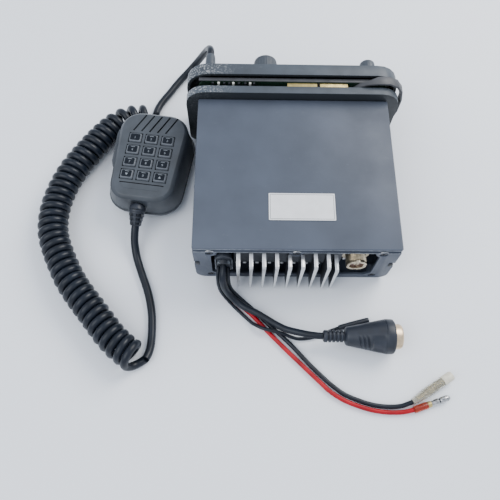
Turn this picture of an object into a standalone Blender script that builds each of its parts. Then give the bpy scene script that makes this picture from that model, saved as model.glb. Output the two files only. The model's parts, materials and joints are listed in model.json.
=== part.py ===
"""A mobile radio transceiver with its hand microphone, leads and plugs.

The set lies on its top cover, label side up. The origin is the centre of the
face that the case rests on; +Z is up and the rear, with the heat sink, faces -Y.
All sizes are in metres.
"""
import math

import bmesh
import bpy
from mathutils import Matrix, Vector

# ---------------------------------------------------------------- clearances
GAP = 0.0003            # between pieces that touch
SLIDE_GAP = 0.0006      # round a key or button in its hole
TURN_GAP = 0.0005       # round a shaft in its hole

# ---------------------------------------------------------------- case
CASE_W = 0.155
CASE_H = 0.0585         # with the underside cover
CASE_L = 0.1325         # rear face to front rim
REAR_Y = -0.0665
WALL = 0.002
COVER_T = 0.002
CASE_R = 0.0085         # long edges beside the face it rests on
BAND_H = 0.0042         # recessed band under the cover's rear edge
BAND_DEPTH = 0.0012
OPENING_X = (-0.0642, 0.0631)
OPENING_Z = (0.007, 0.051)
OPENING_CUT = 0.005     # cut corners of the rear opening
BOSS_R = 0.0055
BOSS_L = 0.008
BOSS_SINK = 0.0003      # how far the bosses' faces lie under the rear face
SCREW_HEAD_R = 0.0029
SCREW_HEAD_T = 0.0016
SCREW_SHANK_R = 0.0014
SCREW_L = 0.007
SCREW_SINK = 0.0006     # how far the head's face lies under the rear face
SCREWS = ((-0.065, 0.0488), (0.065, 0.0488), (0.0, 0.0488), (-0.065, 0.0058), (0.065, 0.0058))
LOWER_BOSS_R = 0.0044
NOTCH_Z = (0.026, 0.033)
NOTCH_L = 0.014
NOTCH_DEPTH = 0.0042

# ---------------------------------------------------------------- rear fittings
SINK_PLATE_T = 0.004
SINK_PLATE_X = (-0.0465, 0.0352)
SINK_PLATE_Z = (0.027, 0.0545)
SINK_BOSS_ROOM = 0.0012  # round the middle boss
FIN_COUNT = 9
FIN_PITCH = 0.0096
FIN_FIRST_X = -0.0434
LAST_FIN_X = 0.0305
FIN_T = 0.0028          # thickness at the top
FIN_FOOT_T = 0.0013     # thickness at the lower end
FIN_Z = (0.0035, 0.0485)
LAST_FIN_TOP = 0.043
FIN_PROUD = 0.011
SOCKET_X, SOCKET_Z = 0.047, 0.034
SOCKET_R = 0.0079
SOCKET_PROUD = 0.0031
SOCKET_FLANGE = 0.0215
SOCKET_FLANGE_T = 0.0016
SOCKET_FLANGE_Y = -0.0585
SOCKET_BORE_R = 0.0057
SOCKET_TAIL_R = 0.005
SOCKET_TAIL_L = 0.008
GLAND_X, GLAND_Z = -0.0545, 0.0315
GLAND_W, GLAND_H = 0.0135, 0.031
GLAND_SLEEVE_W, GLAND_SLEEVE_H = 0.0125, 0.0165
GLAND_T = 0.0035
GLAND_END_Y = -0.0705

# ---------------------------------------------------------------- front
FRONT_OVERHANG = 0.0105  # how far the panel's two halves stand out past the case
COWL_W = CASE_W + 2 * FRONT_OVERHANG
COWL_H = 0.0665
COWL_L = 0.0067
COWL_R = 0.016
COWL_WALL = 0.0025
BEZEL_W = COWL_W
BEZEL_H = 0.070
BEZEL_Y = (0.082, 0.0925)
BEZEL_R = 0.019
BEZEL_WALL = 0.0026
FRONT_FOOT_R = 0.006    # corners beside the resting face
BOARD_Y = 0.0778
BOARD_T = 0.0019
BOARD_W = 0.156
BOARD_Z = (0.0045, 0.0660)
CONNECTOR_X = (-0.005, 0.0445)
CONNECTOR_D = 0.0035
CONNECTOR_Z = (0.0585, 0.0650)
LCD_X = (-0.052, 0.020)
LCD_Z = (0.009, 0.034)
LCD_WINDOW_T = 0.0018
LCD_LEDGE = 0.0022      # how far the window overlaps its opening
LCD_DEPTH = 0.0075
SPEAKER_X, SPEAKER_Z = 0.0545, 0.0215
SPEAKER_R = 0.0155
SPEAKER_D = 0.0078
GRILLE_SLOTS = 7
GRILLE_PITCH = 0.004
GRILLE_SLOT_H = 0.0016
VOLUME_X, VOLUME_Z, VOLUME_R, VOLUME_L = -0.0219, 0.048, 0.0104, 0.0212
CHANNEL_X, CHANNEL_Z, CHANNEL_R, CHANNEL_L = 0.066, 0.049, 0.0071, 0.0198
SHAFT_R = 0.003
POT_SIZE = 0.0125
POT_D = 0.0062
KEY_X = (-0.002, 0.012, 0.026, 0.040)
KEY_Z = 0.048
KEY_W, KEY_H = 0.010, 0.0055
KEY_PROUD = 0.0016
KEY_STEM = 0.0042
KEY_FLANGE = 0.0008
BOOT_X, BOOT_Z = -0.0695, 0.047
BOOT_R0, BOOT_R1, BOOT_L = 0.0052, 0.0038, 0.028
MIC_LEAD_R = 0.00325

# ---------------------------------------------------------------- label
LABEL_CENTRE = (0.0041, -0.032)
LABEL_W, LABEL_L = 0.050, 0.0225
LABEL_T = 0.0003

# ---------------------------------------------------------------- hand microphone
MIC_FROM_CASE = 0.0419  # its middle from the case's side
MIC_CENTRE = (-CASE_W / 2 - MIC_FROM_CASE, 0.0284)
MIC_YAW = math.radians(-7.0)
MIC_FOOT = 0.0055       # hanger button under the back shell
MIC_FOOT_R = 0.009
MIC_BACK_T = 0.0045
MIC_TOP = 0.033         # face above the table
MIC_L = 0.0854
MIC_W_TOP, MIC_W_FOOT = 0.069, 0.0595
MIC_R_TOP, MIC_R_FOOT = 0.022, 0.019
MIC_DRAFT = 0.0056      # how far the face draws in on each long side
MIC_END_DRAFT = 0.0008  # and at its two ends
MIC_WALL = 0.0022
MIC_KEY_PITCH_U, MIC_KEY_PITCH_V = 0.0137, 0.0118
MIC_KEY_W, MIC_KEY_L = 0.0104, 0.0085
MIC_KEY_TOP_INSET = 0.0009
MIC_KEY_PROUD = 0.0013
MIC_KEY_FLANGE = 0.0009 # holds a key in at its top and foot
MIC_KEY_V = -0.0028     # middle of the keypad along the microphone
MIC_KEY_TRAVEL = 0.0008
MIC_BOARD_T = 0.0016
SLOT_COUNT = 5
SLOT_PITCH = 0.00685
SLOT_LEN = 0.0187
SLOT_W = 0.0014
SLOT_U, SLOT_V = 0.0009, 0.0304
SLOT_SLANT = math.radians(64)
PTT_L, PTT_H, PTT_T = 0.036, 0.012, 0.0042
PTT_TRAVEL = 0.0015
PTT_V = 0.008
PTT_W = 0.0195          # height of the talk button's middle above the table
MIC_BOOT_R0, MIC_BOOT_R1, MIC_BOOT_L = 0.0060, 0.0042, 0.0130
MIC_BOOT_U = -0.0018
MIC_BOOT_W = 0.0215     # height of the boot's axis above the table
MIC_BOOT_DROOP = 0.50   # its slope down to the table

# ---------------------------------------------------------------- cords
END_STRAIGHT = 0.001    # straight at each end, so that it meets its fitting squarely
ACCESSORY_R = 0.0027
POWER_R = 0.00175
THIN_R = 0.0014
COIL_R = 0.0125
COIL_END_R = 0.0100     # the last stretched turns by the microphone's top
PLUG_AXIS = (-0.1195, 0.0137)   # y and z of the accessory plug's axis
PLUG_X = (0.0220, 0.0387, 0.0757, 0.0818)
PLUG_NECK_R = 0.0045
PLUG_R = 0.0134
RING_R = 0.0096
RING_WALL = 0.0013
RING_DEEP = 0.010       # how deep the ring's mouth goes


# ================================================================ tools
def material(name, colour, roughness, metallic=0.0):
    """A Principled material, made once for each name."""
    mat = bpy.data.materials.get(name)
    if mat is None:
        mat = bpy.data.materials.new(name)
        mat.use_nodes = True
        shader = mat.node_tree.nodes["Principled BSDF"]
        shader.inputs["Base Color"].default_value = (*colour, 1.0)
        shader.inputs["Roughness"].default_value = roughness
        shader.inputs["Metallic"].default_value = metallic
    return mat


CASE_PAINT = ("case_paint", (0.045, 0.055, 0.075), 0.6, 0.0)
PANEL_PLASTIC = ("panel_plastic", (0.07, 0.08, 0.095), 0.55, 0.0)
CAST_ALUMINIUM = ("cast_aluminium", (0.60, 0.61, 0.63), 0.4, 1.0)
SCREW_STEEL = ("screw_steel", (0.03, 0.03, 0.035), 0.4, 1.0)
SOCKET_METAL = ("socket_metal", (0.72, 0.62, 0.45), 0.35, 1.0)
BROWN_RESIN = ("brown_resin", (0.10, 0.03, 0.02), 0.5, 0.0)
BLACK_RUBBER = ("black_rubber", (0.012, 0.014, 0.02), 0.5, 0.0)
SEAL_RUBBER = ("seal_rubber", (0.09, 0.085, 0.085), 0.6, 0.0)
BOARD_GREEN = ("board_green", (0.01, 0.05, 0.025), 0.5, 0.0)
GOLD_PAD = ("gold_pad", (0.75, 0.60, 0.25), 0.35, 1.0)
CLEAR_WINDOW = ("clear_window", (0.05, 0.06, 0.06), 0.1, 0.0)
MIC_PLASTIC = ("mic_plastic", (0.05, 0.055, 0.062), 0.5, 0.0)
KEY_PLASTIC = ("key_plastic", (0.10, 0.11, 0.12), 0.45, 0.0)
LABEL_WHITE = ("label_white", (0.8, 0.8, 0.78), 0.5, 0.0)
CORD_BLACK = ("cord_black", (0.012, 0.013, 0.017), 0.45, 0.0)
LEAD_RED = ("lead_red", (0.55, 0.012, 0.025), 0.4, 0.0)
PLUG_METAL = ("plug_metal", (0.60, 0.50, 0.38), 0.4, 1.0)
PIN_STEEL = ("pin_steel", (0.6, 0.6, 0.6), 0.3, 1.0)
CLEAR_SLEEVE = ("clear_sleeve", (0.75, 0.72, 0.60), 0.3, 0.0)


def place(name, mesh_or_curve, finish=None, parent=None):
    """Links a new object; one with no finish is a cutter or guide."""
    obj = bpy.data.objects.new(name, mesh_or_curve)
    bpy.context.scene.collection.objects.link(obj)
    obj.parent = parent
    if finish is None:
        obj.hide_render = True
        obj.display_type = "WIRE"
    else:
        mesh_or_curve.materials.append(material(*finish))
    return obj


def closed(name, bm, finish=None, parent=None, smooth=None):
    """Turns a bmesh into an object whose faces point out."""
    bmesh.ops.recalc_face_normals(bm, faces=bm.faces)
    mesh = bpy.data.meshes.new(name)
    bm.to_mesh(mesh)
    bm.free()
    if smooth is not None:
        mesh.shade_smooth()
        mesh.set_sharp_from_angle(angle=math.radians(smooth))
    return place(name, mesh, finish, parent)


def lofted(name, rings, finish=None, parent=None, loop=False, smooth=None):
    """Joins rings of equally many points; the ends are capped unless it is a loop."""
    bm = bmesh.new()
    rows = [[bm.verts.new(p) for p in ring] for ring in rings]
    pairs = list(zip(rows, rows[1:]))
    if loop:
        pairs.append((rows[-1], rows[0]))
    for a, b in pairs:
        for i in range(len(a)):
            j = (i + 1) % len(a)
            bm.faces.new((a[i], a[j], b[j], b[i]))
    if not loop:
        bm.faces.new(rows[0])
        bm.faces.new(rows[-1])
    return closed(name, bm, finish, parent, smooth)


def prism(name, outline, axis, low, high, finish=None, parent=None):
    """A flat outline drawn out along X, Y or Z."""
    def point(a, b, t):
        return {"X": (t, a, b), "Y": (a, t, b), "Z": (a, b, t)}[axis]
    rings = [[point(a, b, t) for a, b in outline] for t in (low, high)]
    return lofted(name, rings, finish, parent)


def box(name, low, high, finish=None, parent=None):
    outline = [(low[0], low[1]), (high[0], low[1]), (high[0], high[1]), (low[0], high[1])]
    return prism(name, outline, "Z", low[2], high[2], finish, parent)


def rounded(corners, radii, steps=5):
    """A polygon's outline with a round of the given radius at each corner."""
    points = []
    for i, corner in enumerate(corners):
        here = Vector(corner)
        before = (Vector(corners[i - 1]) - here).normalized()
        after = (Vector(corners[(i + 1) % len(corners)]) - here).normalized()
        radius = radii[i]
        if radius <= 0:
            points.append(tuple(here))
            continue
        half = before.angle(after) / 2
        centre = here + (before + after).normalized() * radius / math.sin(half)
        start = here + before * radius / math.tan(half) - centre
        turn = start.angle_signed(here + after * radius / math.tan(half) - centre)
        for k in range(steps + 1):
            angle = -turn * k / steps
            c, s = math.cos(angle), math.sin(angle)
            points.append((centre.x + c * start.x - s * start.y,
                           centre.y + s * start.x + c * start.y))
    return points


def rectangle(a, b, radii=(0, 0, 0, 0), steps=5):
    """Outline from (a low, b low) to (a high, b high); radii start at that corner."""
    corners = [(a[0], b[0]), (a[1], b[0]), (a[1], b[1]), (a[0], b[1])]
    return rounded(corners, radii, steps)


def turned(name, profile, at, direction, finish=None, parent=None, sides=24, smooth=35,
           ring=False):
    """A turned piece. The profile is (radius, distance along direction) pairs, and a
    ring's profile closes on itself; any other runs from axis to axis."""
    turn = Vector(direction).to_track_quat("Z", "Y").to_matrix().to_4x4()
    frame = Matrix.Translation(at) @ turn
    bm = bmesh.new()
    rows = []
    for radius, along in profile:
        if radius <= 1e-9:
            rows.append([bm.verts.new(frame @ Vector((0, 0, along)))])
            continue
        angles = [2 * math.pi * k / sides for k in range(sides)]
        rows.append([bm.verts.new(frame @ Vector((radius * math.cos(a),
                                                  radius * math.sin(a), along)))
                     for a in angles])
    pairs = list(zip(rows, rows[1:]))
    if ring:
        pairs.append((rows[-1], rows[0]))
    for a, b in pairs:
        for i in range(sides):
            j = (i + 1) % sides
            if len(a) == 1:
                bm.faces.new((a[0], b[j], b[i]))
            elif len(b) == 1:
                bm.faces.new((a[i], a[j], b[0]))
            else:
                bm.faces.new((a[i], a[j], b[j], b[i]))
    return closed(name, bm, finish, parent, smooth)


def rod(name, radius, at, direction, length, finish=None, parent=None, sides=24):
    return turned(name, [(0, 0), (radius, 0), (radius, length), (0, length)], at, direction,
                  finish, parent, sides)


def boolean(target, tool, operation):
    mod = target.modifiers.new(tool.name, "BOOLEAN")
    mod.operation = operation
    mod.object = tool
    mod.solver = "EXACT"


def cut(target, *tools):
    for tool in tools:
        boolean(target, tool, "DIFFERENCE")


def join(target, *tools):
    for tool in tools:
        boolean(target, tool, "UNION")


def bevelled(obj, width, segments=1, angle=40):
    mod = obj.modifiers.new("edges", "BEVEL")
    mod.width = width
    mod.segments = segments
    mod.limit_method = "ANGLE"
    mod.angle_limit = math.radians(angle)


def move_origin(obj, point):
    """Puts a moving piece's origin on its joint's axis."""
    obj.data.transform(Matrix.Translation(-Vector(point)))
    obj.location = point


def smooth_route(points, step):
    """Points about a step apart on the smooth curve through the route's own points."""
    route = [Vector(p) for p in points]
    route = [2 * route[0] - route[1]] + route + [2 * route[-1] - route[-2]]
    fine = []
    for a, b, c, d in zip(route, route[1:], route[2:], route[3:]):
        knots = [0.0]
        for p, q in ((a, b), (b, c), (c, d)):
            knots.append(knots[-1] + math.sqrt((q - p).length))
        for k in range(12):
            t = knots[1] + (knots[2] - knots[1]) * k / 12
            ab = a.lerp(b, (t - knots[0]) / (knots[1] - knots[0]))
            bc = b.lerp(c, (t - knots[1]) / (knots[2] - knots[1]))
            cd = c.lerp(d, (t - knots[2]) / (knots[3] - knots[2]))
            abc = ab.lerp(bc, (t - knots[0]) / (knots[2] - knots[0]))
            bcd = bc.lerp(cd, (t - knots[1]) / (knots[3] - knots[1]))
            fine.append(abc.lerp(bcd, (t - knots[1]) / (knots[2] - knots[1])))
    fine.append(route[-2])
    lengths = [0.0]
    for p, q in zip(fine, fine[1:]):
        lengths.append(lengths[-1] + (q - p).length)
    count = max(2, round(lengths[-1] / step))
    out, i = [], 0
    for k in range(count + 1):
        want = lengths[-1] * k / count
        while i < len(fine) - 2 and lengths[i + 1] < want:
            i += 1
        share = (want - lengths[i]) / max(lengths[i + 1] - lengths[i], 1e-12)
        out.append(fine[i].lerp(fine[i + 1], share))
    first = out[0] + (fine[1] - fine[0]).normalized() * END_STRAIGHT
    last = out[-1] + (fine[-2] - fine[-1]).normalized() * END_STRAIGHT
    return [out[0], first] + out[1:-1] + [last, out[-1]]


def tube(name, points, radius, step, finish, radii=None, sides=2):
    """A plain tube along a route; radii scale it at each end."""
    route = smooth_route(points, step)
    curve = bpy.data.curves.new(name, "CURVE")
    curve.dimensions = "3D"
    curve.bevel_depth = radius
    curve.bevel_resolution = sides
    curve.use_fill_caps = True
    curve.render_resolution_u = 0
    spline = curve.splines.new("POLY")
    spline.points.add(len(route) - 1)
    for i, (point, place_at) in enumerate(zip(spline.points, route)):
        point.co = (*place_at, 1.0)
        if radii:
            share = i / (len(route) - 1)
            fade = max(0.0, (share - radii[0]) / (1 - radii[0]))
            point.radius = 1 + (radii[1] - 1) * fade
    return place(name, curve, finish)


# ================================================================ case and rear
CASE_TOP = CASE_H - COVER_T - GAP
FRONT_Y = REAR_Y + CASE_L
HALF_W = CASE_W / 2


def case_outline(inset):
    """The case's section in X and Z, with its long lower edges rounded."""
    x, radius = HALF_W - inset, CASE_R - inset
    return rectangle((-x, x), (inset, CASE_TOP), (radius, radius, 0, 0))


def make_case():
    case = prism("case_body", case_outline(0), "Y", REAR_Y, FRONT_Y, CASE_PAINT)
    hollow = rectangle((-HALF_W + WALL, HALF_W - WALL), (WALL, CASE_H + WALL),
                       (CASE_R - WALL, CASE_R - WALL, 0, 0))
    cut(case, prism("case_hollow", hollow, "Y", REAR_Y + WALL, FRONT_Y + WALL))
    opening = rectangle(OPENING_X, OPENING_Z, (OPENING_CUT,) * 4, 1)
    cut(case, prism("case_opening", opening, "Y", REAR_Y - WALL, REAR_Y + 2 * WALL))
    for i, (x, z) in enumerate(SCREWS):
        radius = BOSS_R if z > CASE_H / 2 else LOWER_BOSS_R
        join(case, rod(f"boss_{i}", radius, (x, REAR_Y + BOSS_SINK, z), (0, 1, 0), BOSS_L, None,
                       None, 20))
        head = SCREW_HEAD_R + GAP
        hole = [(0, -WALL), (head, -WALL), (head, SCREW_SINK + SCREW_HEAD_T + GAP),
                (SCREW_SHANK_R + GAP, SCREW_SINK + SCREW_HEAD_T + GAP),
                (SCREW_SHANK_R + GAP, BOSS_L + WALL), (0, BOSS_L + WALL)]
        cut(case, turned(f"screw_hole_{i}", hole, (x, REAR_Y, z), (0, 1, 0), sides=12))
    band = box("case_band", (-CASE_W, REAR_Y - WALL, CASE_TOP - BAND_H),
               (CASE_W, REAR_Y + BAND_DEPTH, CASE_H))
    cut(case, band)
    for side in (-1, 1):
        x = sorted((side * (HALF_W - NOTCH_DEPTH), side * (HALF_W + WALL)))
        cut(case, box(f"notch_{side}", (x[0], REAR_Y - WALL, NOTCH_Z[0]),
                      (x[1], REAR_Y + NOTCH_L, NOTCH_Z[1])))


def make_cover():
    outline = rectangle((-HALF_W, HALF_W), (REAR_Y, FRONT_Y), (0.0012,) * 4, 2)
    cover = prism("underside_cover", outline, "Z", CASE_H - COVER_T, CASE_H, CASE_PAINT)
    bevelled(cover, 0.0005)


def make_screws():
    for i, (x, z) in enumerate(SCREWS):
        head, shank = SCREW_HEAD_R, SCREW_SHANK_R
        profile = [(0, 0.0006), (head * 0.4, 0.0006), (head * 0.4, 0), (head, 0.0003),
                   (head, SCREW_HEAD_T), (shank, SCREW_HEAD_T), (shank, SCREW_L),
                   (0, SCREW_L + 0.0008)]
        turned(f"rear_screw_{i + 1}", profile, (x, REAR_Y + SCREW_SINK, z), (0, 1, 0),
               SCREW_STEEL, sides=10)


def fin_outline(top):
    """One fin's side in Y and Z: a tail inside the opening and a blade outside it."""
    plate = REAR_Y + WALL + GAP + SINK_PLATE_T / 2
    outside, tip = REAR_Y - GAP, REAR_Y - FIN_PROUD
    low = OPENING_Z[0] + 0.001
    nose = 0.0012
    return [(plate, SINK_PLATE_Z[0] + 0.001), (plate, top), (tip + nose, top), (tip, top - nose),
            (tip, FIN_Z[0] + nose), (tip + nose, FIN_Z[0]), (outside - 0.002, FIN_Z[0]),
            (outside, low), (REAR_Y + WALL + GAP, low)]


def make_fin(name, centre, top):
    """A fin that thins out evenly towards its lower end."""
    def half(z):
        share = (z - FIN_Z[0]) / (top - FIN_Z[0])
        return (FIN_FOOT_T + (FIN_T - FIN_FOOT_T) * share) / 2

    rings = [[(centre + side * half(z), y, z) for y, z in fin_outline(top)] for side in (-1, 1)]
    return lofted(name, rings)


def make_heat_sink():
    back = REAR_Y + WALL + GAP
    sink = box("heat_sink", (SINK_PLATE_X[0], back, SINK_PLATE_Z[0]),
               (SINK_PLATE_X[1], back + SINK_PLATE_T, SINK_PLATE_Z[1]), CAST_ALUMINIUM)
    centres = [FIN_FIRST_X + FIN_PITCH * i for i in range(FIN_COUNT - 1)] + [LAST_FIN_X]
    tops = [FIN_Z[1]] * (FIN_COUNT - 1) + [LAST_FIN_TOP]
    x, z = SCREWS[2]
    room = BOSS_R + SINK_BOSS_ROOM
    cut(sink, rod("sink_boss_room", room, (x, REAR_Y - CASE_W, z), (0, 1, 0), 2 * CASE_W))
    for i, (centre, top) in enumerate(zip(centres, tops)):
        join(sink, make_fin(f"fin_{i}", centre, top))
    cut(sink, rod("fin_boss_room", room, (x, REAR_Y, z), (0, 1, 0), 2 * CASE_W))


def make_antenna_socket():
    at = (SOCKET_X, SOCKET_FLANGE_Y, SOCKET_Z)
    front = SOCKET_FLANGE_Y - (REAR_Y - SOCKET_PROUD)
    half = SOCKET_FLANGE / 2
    socket = prism("antenna_socket", rectangle((SOCKET_X - half, SOCKET_X + half),
                   (SOCKET_Z - half, SOCKET_Z + half), (0.002,) * 4, 2), "Y",
                   SOCKET_FLANGE_Y, SOCKET_FLANGE_Y + SOCKET_FLANGE_T, SOCKET_METAL)
    deep = SOCKET_FLANGE_T + SOCKET_TAIL_L
    barrel = [(0, -SOCKET_FLANGE_T / 2), (SOCKET_R, -SOCKET_FLANGE_T / 2),
              (SOCKET_R, front - 0.0006), (SOCKET_R - 0.0006, front), (0, front)]
    join(socket, turned("socket_barrel", barrel, at, (0, -1, 0), sides=28))
    join(socket, rod("socket_tail", SOCKET_TAIL_R, at, (0, 1, 0), deep, None, None, 20))
    bore = [(0, -0.001), (SOCKET_BORE_R, -0.001), (SOCKET_BORE_R, front + WALL), (0, front + WALL)]
    cut(socket, turned("socket_bore", bore, at, (0, -1, 0), sides=20))
    insulator = [(0, GAP - 0.001), (SOCKET_BORE_R - GAP, GAP - 0.001),
                 (SOCKET_BORE_R - GAP, front - 0.0012), (0.0024, front - 0.0012),
                 (0.0024, front - 0.009), (0, front - 0.009)]
    turned("antenna_insulator", insulator, at, (0, -1, 0), BROWN_RESIN, sides=16)


def make_gland():
    def oval(width, height):
        return rectangle((GLAND_X - width / 2, GLAND_X + width / 2),
                         (GLAND_Z - height / 2, GLAND_Z + height / 2), (width / 2 - 1e-5,) * 4, 4)
    collar = prism("cable_gland", oval(GLAND_W, GLAND_H), "Y", REAR_Y - 0.0012,
                   REAR_Y + GLAND_T, BLACK_RUBBER)
    join(collar, prism("gland_sleeve", oval(GLAND_SLEEVE_W, GLAND_SLEEVE_H), "Y",
                       GLAND_END_Y, REAR_Y))


# ================================================================ front panel
COWL_Y = FRONT_Y + GAP
COWL_FRONT = COWL_Y + COWL_L
BEZEL_FACE = BEZEL_Y[1]
BEZEL_BACK = BEZEL_Y[0]
FACE_IN = BEZEL_FACE - BEZEL_WALL


def panel_outline(width, height, radius, inset):
    x, foot = width / 2 - inset, max(FRONT_FOOT_R - inset, 0.001)
    return rectangle((-x, x), (inset, height - inset), (foot, foot, radius - inset, radius - inset))


def make_cowl():
    cowl = prism("rear_cowl", panel_outline(COWL_W, COWL_H, COWL_R, 0), "Y", COWL_Y, COWL_FRONT,
                 PANEL_PLASTIC)
    cut(cowl, prism("cowl_tray", panel_outline(COWL_W, COWL_H, COWL_R, COWL_WALL), "Y",
                    COWL_Y + COWL_WALL, COWL_FRONT + COWL_WALL))
    cut(cowl, box("cowl_passage", (-HALF_W * 0.7, COWL_Y - WALL, 0.012),
                  (HALF_W * 0.7, COWL_FRONT, 0.046)))


def make_bezel():
    bezel = prism("front_bezel", panel_outline(BEZEL_W, BEZEL_H, BEZEL_R, 0), "Y", BEZEL_BACK,
                  BEZEL_FACE, PANEL_PLASTIC)
    cut(bezel, prism("bezel_hollow", panel_outline(BEZEL_W, BEZEL_H, BEZEL_R, BEZEL_WALL), "Y",
                     BEZEL_BACK - WALL, FACE_IN))
    through = (FACE_IN - WALL, BEZEL_FACE + WALL)
    cut(bezel, box("lcd_hole", (LCD_X[0], through[0], LCD_Z[0]), (LCD_X[1], through[1], LCD_Z[1])))
    ledge = LCD_LEDGE + GAP
    cut(bezel, box("lcd_rebate", (LCD_X[0] - ledge, BEZEL_FACE - LCD_WINDOW_T, LCD_Z[0] - ledge),
                   (LCD_X[1] + ledge, through[1], LCD_Z[1] + ledge)))
    for i, x in enumerate(KEY_X):
        half_w, half_h = KEY_W / 2 + SLIDE_GAP, KEY_H / 2 + SLIDE_GAP
        cut(bezel, box(f"key_hole_{i}", (x - half_w, through[0], KEY_Z - half_h),
                       (x + half_w, through[1], KEY_Z + half_h)))
    for name, x, z in (("volume", VOLUME_X, VOLUME_Z), ("channel", CHANNEL_X, CHANNEL_Z)):
        cut(bezel, rod(f"{name}_hole", SHAFT_R + TURN_GAP, (x, through[0], z), (0, 1, 0),
                       through[1] - through[0], None, None, 16))
    for i in range(GRILLE_SLOTS):
        z = SPEAKER_Z + (i - (GRILLE_SLOTS - 1) / 2) * GRILLE_PITCH
        half = math.sqrt(max(SPEAKER_R ** 2 - (z - SPEAKER_Z) ** 2, 0)) - 0.001
        cut(bezel, box(f"grille_{i}", (SPEAKER_X - half, through[0], z - GRILLE_SLOT_H / 2),
                       (SPEAKER_X + half, through[1], z + GRILLE_SLOT_H / 2)))


def make_display():
    outline = rectangle((-BOARD_W / 2, BOARD_W / 2), BOARD_Z, (0.002, 0.002, 0.009, 0.009), 3)
    prism("display_board", outline, "Y", BOARD_Y, BOARD_Y + BOARD_T, BOARD_GREEN)
    back = BOARD_Y - GAP
    box("board_connector", (CONNECTOR_X[0], back - CONNECTOR_D, CONNECTOR_Z[0]),
        (CONNECTOR_X[1], back, CONNECTOR_Z[1]), GOLD_PAD)
    front = BOARD_Y + BOARD_T + GAP
    box("lcd_module", (LCD_X[0] + 0.001, front, LCD_Z[0] + 0.001),
        (LCD_X[1] - 0.001, front + LCD_DEPTH, LCD_Z[1] - 0.001), BOARD_GREEN)
    ledge, face = LCD_LEDGE, BEZEL_FACE - LCD_WINDOW_T + GAP
    box("lcd_window", (LCD_X[0] - ledge, face, LCD_Z[0] - ledge),
        (LCD_X[1] + ledge, BEZEL_FACE, LCD_Z[1] + ledge), CLEAR_WINDOW)
    speaker = [(0, 0), (SPEAKER_R * 0.6, 0), (SPEAKER_R, SPEAKER_D * 0.5), (SPEAKER_R, SPEAKER_D),
               (SPEAKER_R * 0.9, SPEAKER_D), (SPEAKER_R * 0.3, SPEAKER_D * 0.5),
               (0, SPEAKER_D * 0.5)]
    turned("speaker", speaker, (SPEAKER_X, front, SPEAKER_Z), (0, 1, 0), BLACK_RUBBER)


def make_control(name, unit, knob, x, z, knob_r, knob_l):
    """A rotary control behind the panel, its turning shaft and its knob."""
    front = BOARD_Y + BOARD_T + GAP
    half = POT_SIZE / 2
    pot = box(unit, (x - half, front, z - half), (x + half, front + POT_D, z + half), BOARD_GREEN)
    cut(pot, rod(f"{name}_well", SHAFT_R + TURN_GAP, (x, front + 0.002, z), (0, 1, 0), POT_D))
    start, knob_back = front + 0.0025, BEZEL_FACE + TURN_GAP
    tip = knob_back + knob_l * 0.6
    shaft = rod(f"{name}_shaft", SHAFT_R, (x, start, z), (0, 1, 0), tip - start, PIN_STEEL,
                None, 16)
    move_origin(shaft, (x, BEZEL_FACE, z))
    bore, end = SHAFT_R + GAP, tip - knob_back + GAP
    round_r = 0.0008
    body = [(0, knob_l), (knob_r - round_r, knob_l), (knob_r, knob_l - round_r), (knob_r, 0),
            (bore, 0), (bore, end), (0, end)]
    piece = turned(knob, body, (x, knob_back, z), (0, 1, 0), PANEL_PLASTIC, sides=28)
    move_origin(piece, (x, BEZEL_FACE, z))


def make_panel_keys():
    for i, x in enumerate(KEY_X):
        top = BEZEL_FACE + KEY_PROUD
        outline = rectangle((x - KEY_W / 2, x + KEY_W / 2), (KEY_Z - KEY_H / 2, KEY_Z + KEY_H / 2),
                            (0.001,) * 4, 2)
        key = prism(f"panel_key_{i + 1}", outline, "Y", FACE_IN - 0.003, top, KEY_PLASTIC)
        flange = FACE_IN - GAP
        grow = SLIDE_GAP + KEY_FLANGE
        join(key, box(f"key_flange_{i}", (x - KEY_W / 2 - grow, flange - 0.001, KEY_Z - KEY_H / 2 - grow),
                      (x + KEY_W / 2 + grow, flange, KEY_Z + KEY_H / 2 + grow)))
        move_origin(key, (x, BEZEL_FACE, KEY_Z))


def make_front_boot():
    profile = [(0, 0), (BOOT_R0, 0), (BOOT_R0, 0.004), (BOOT_R0 * 0.93, 0.005),
               (BOOT_R1, BOOT_L - 0.001), (BOOT_R1 - 0.0006, BOOT_L), (0, BOOT_L)]
    turned("mic_cord_boot", profile, (BOOT_X, BEZEL_FACE + GAP, BOOT_Z), (0, 1, 0),
           PANEL_PLASTIC, sides=16)


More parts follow.
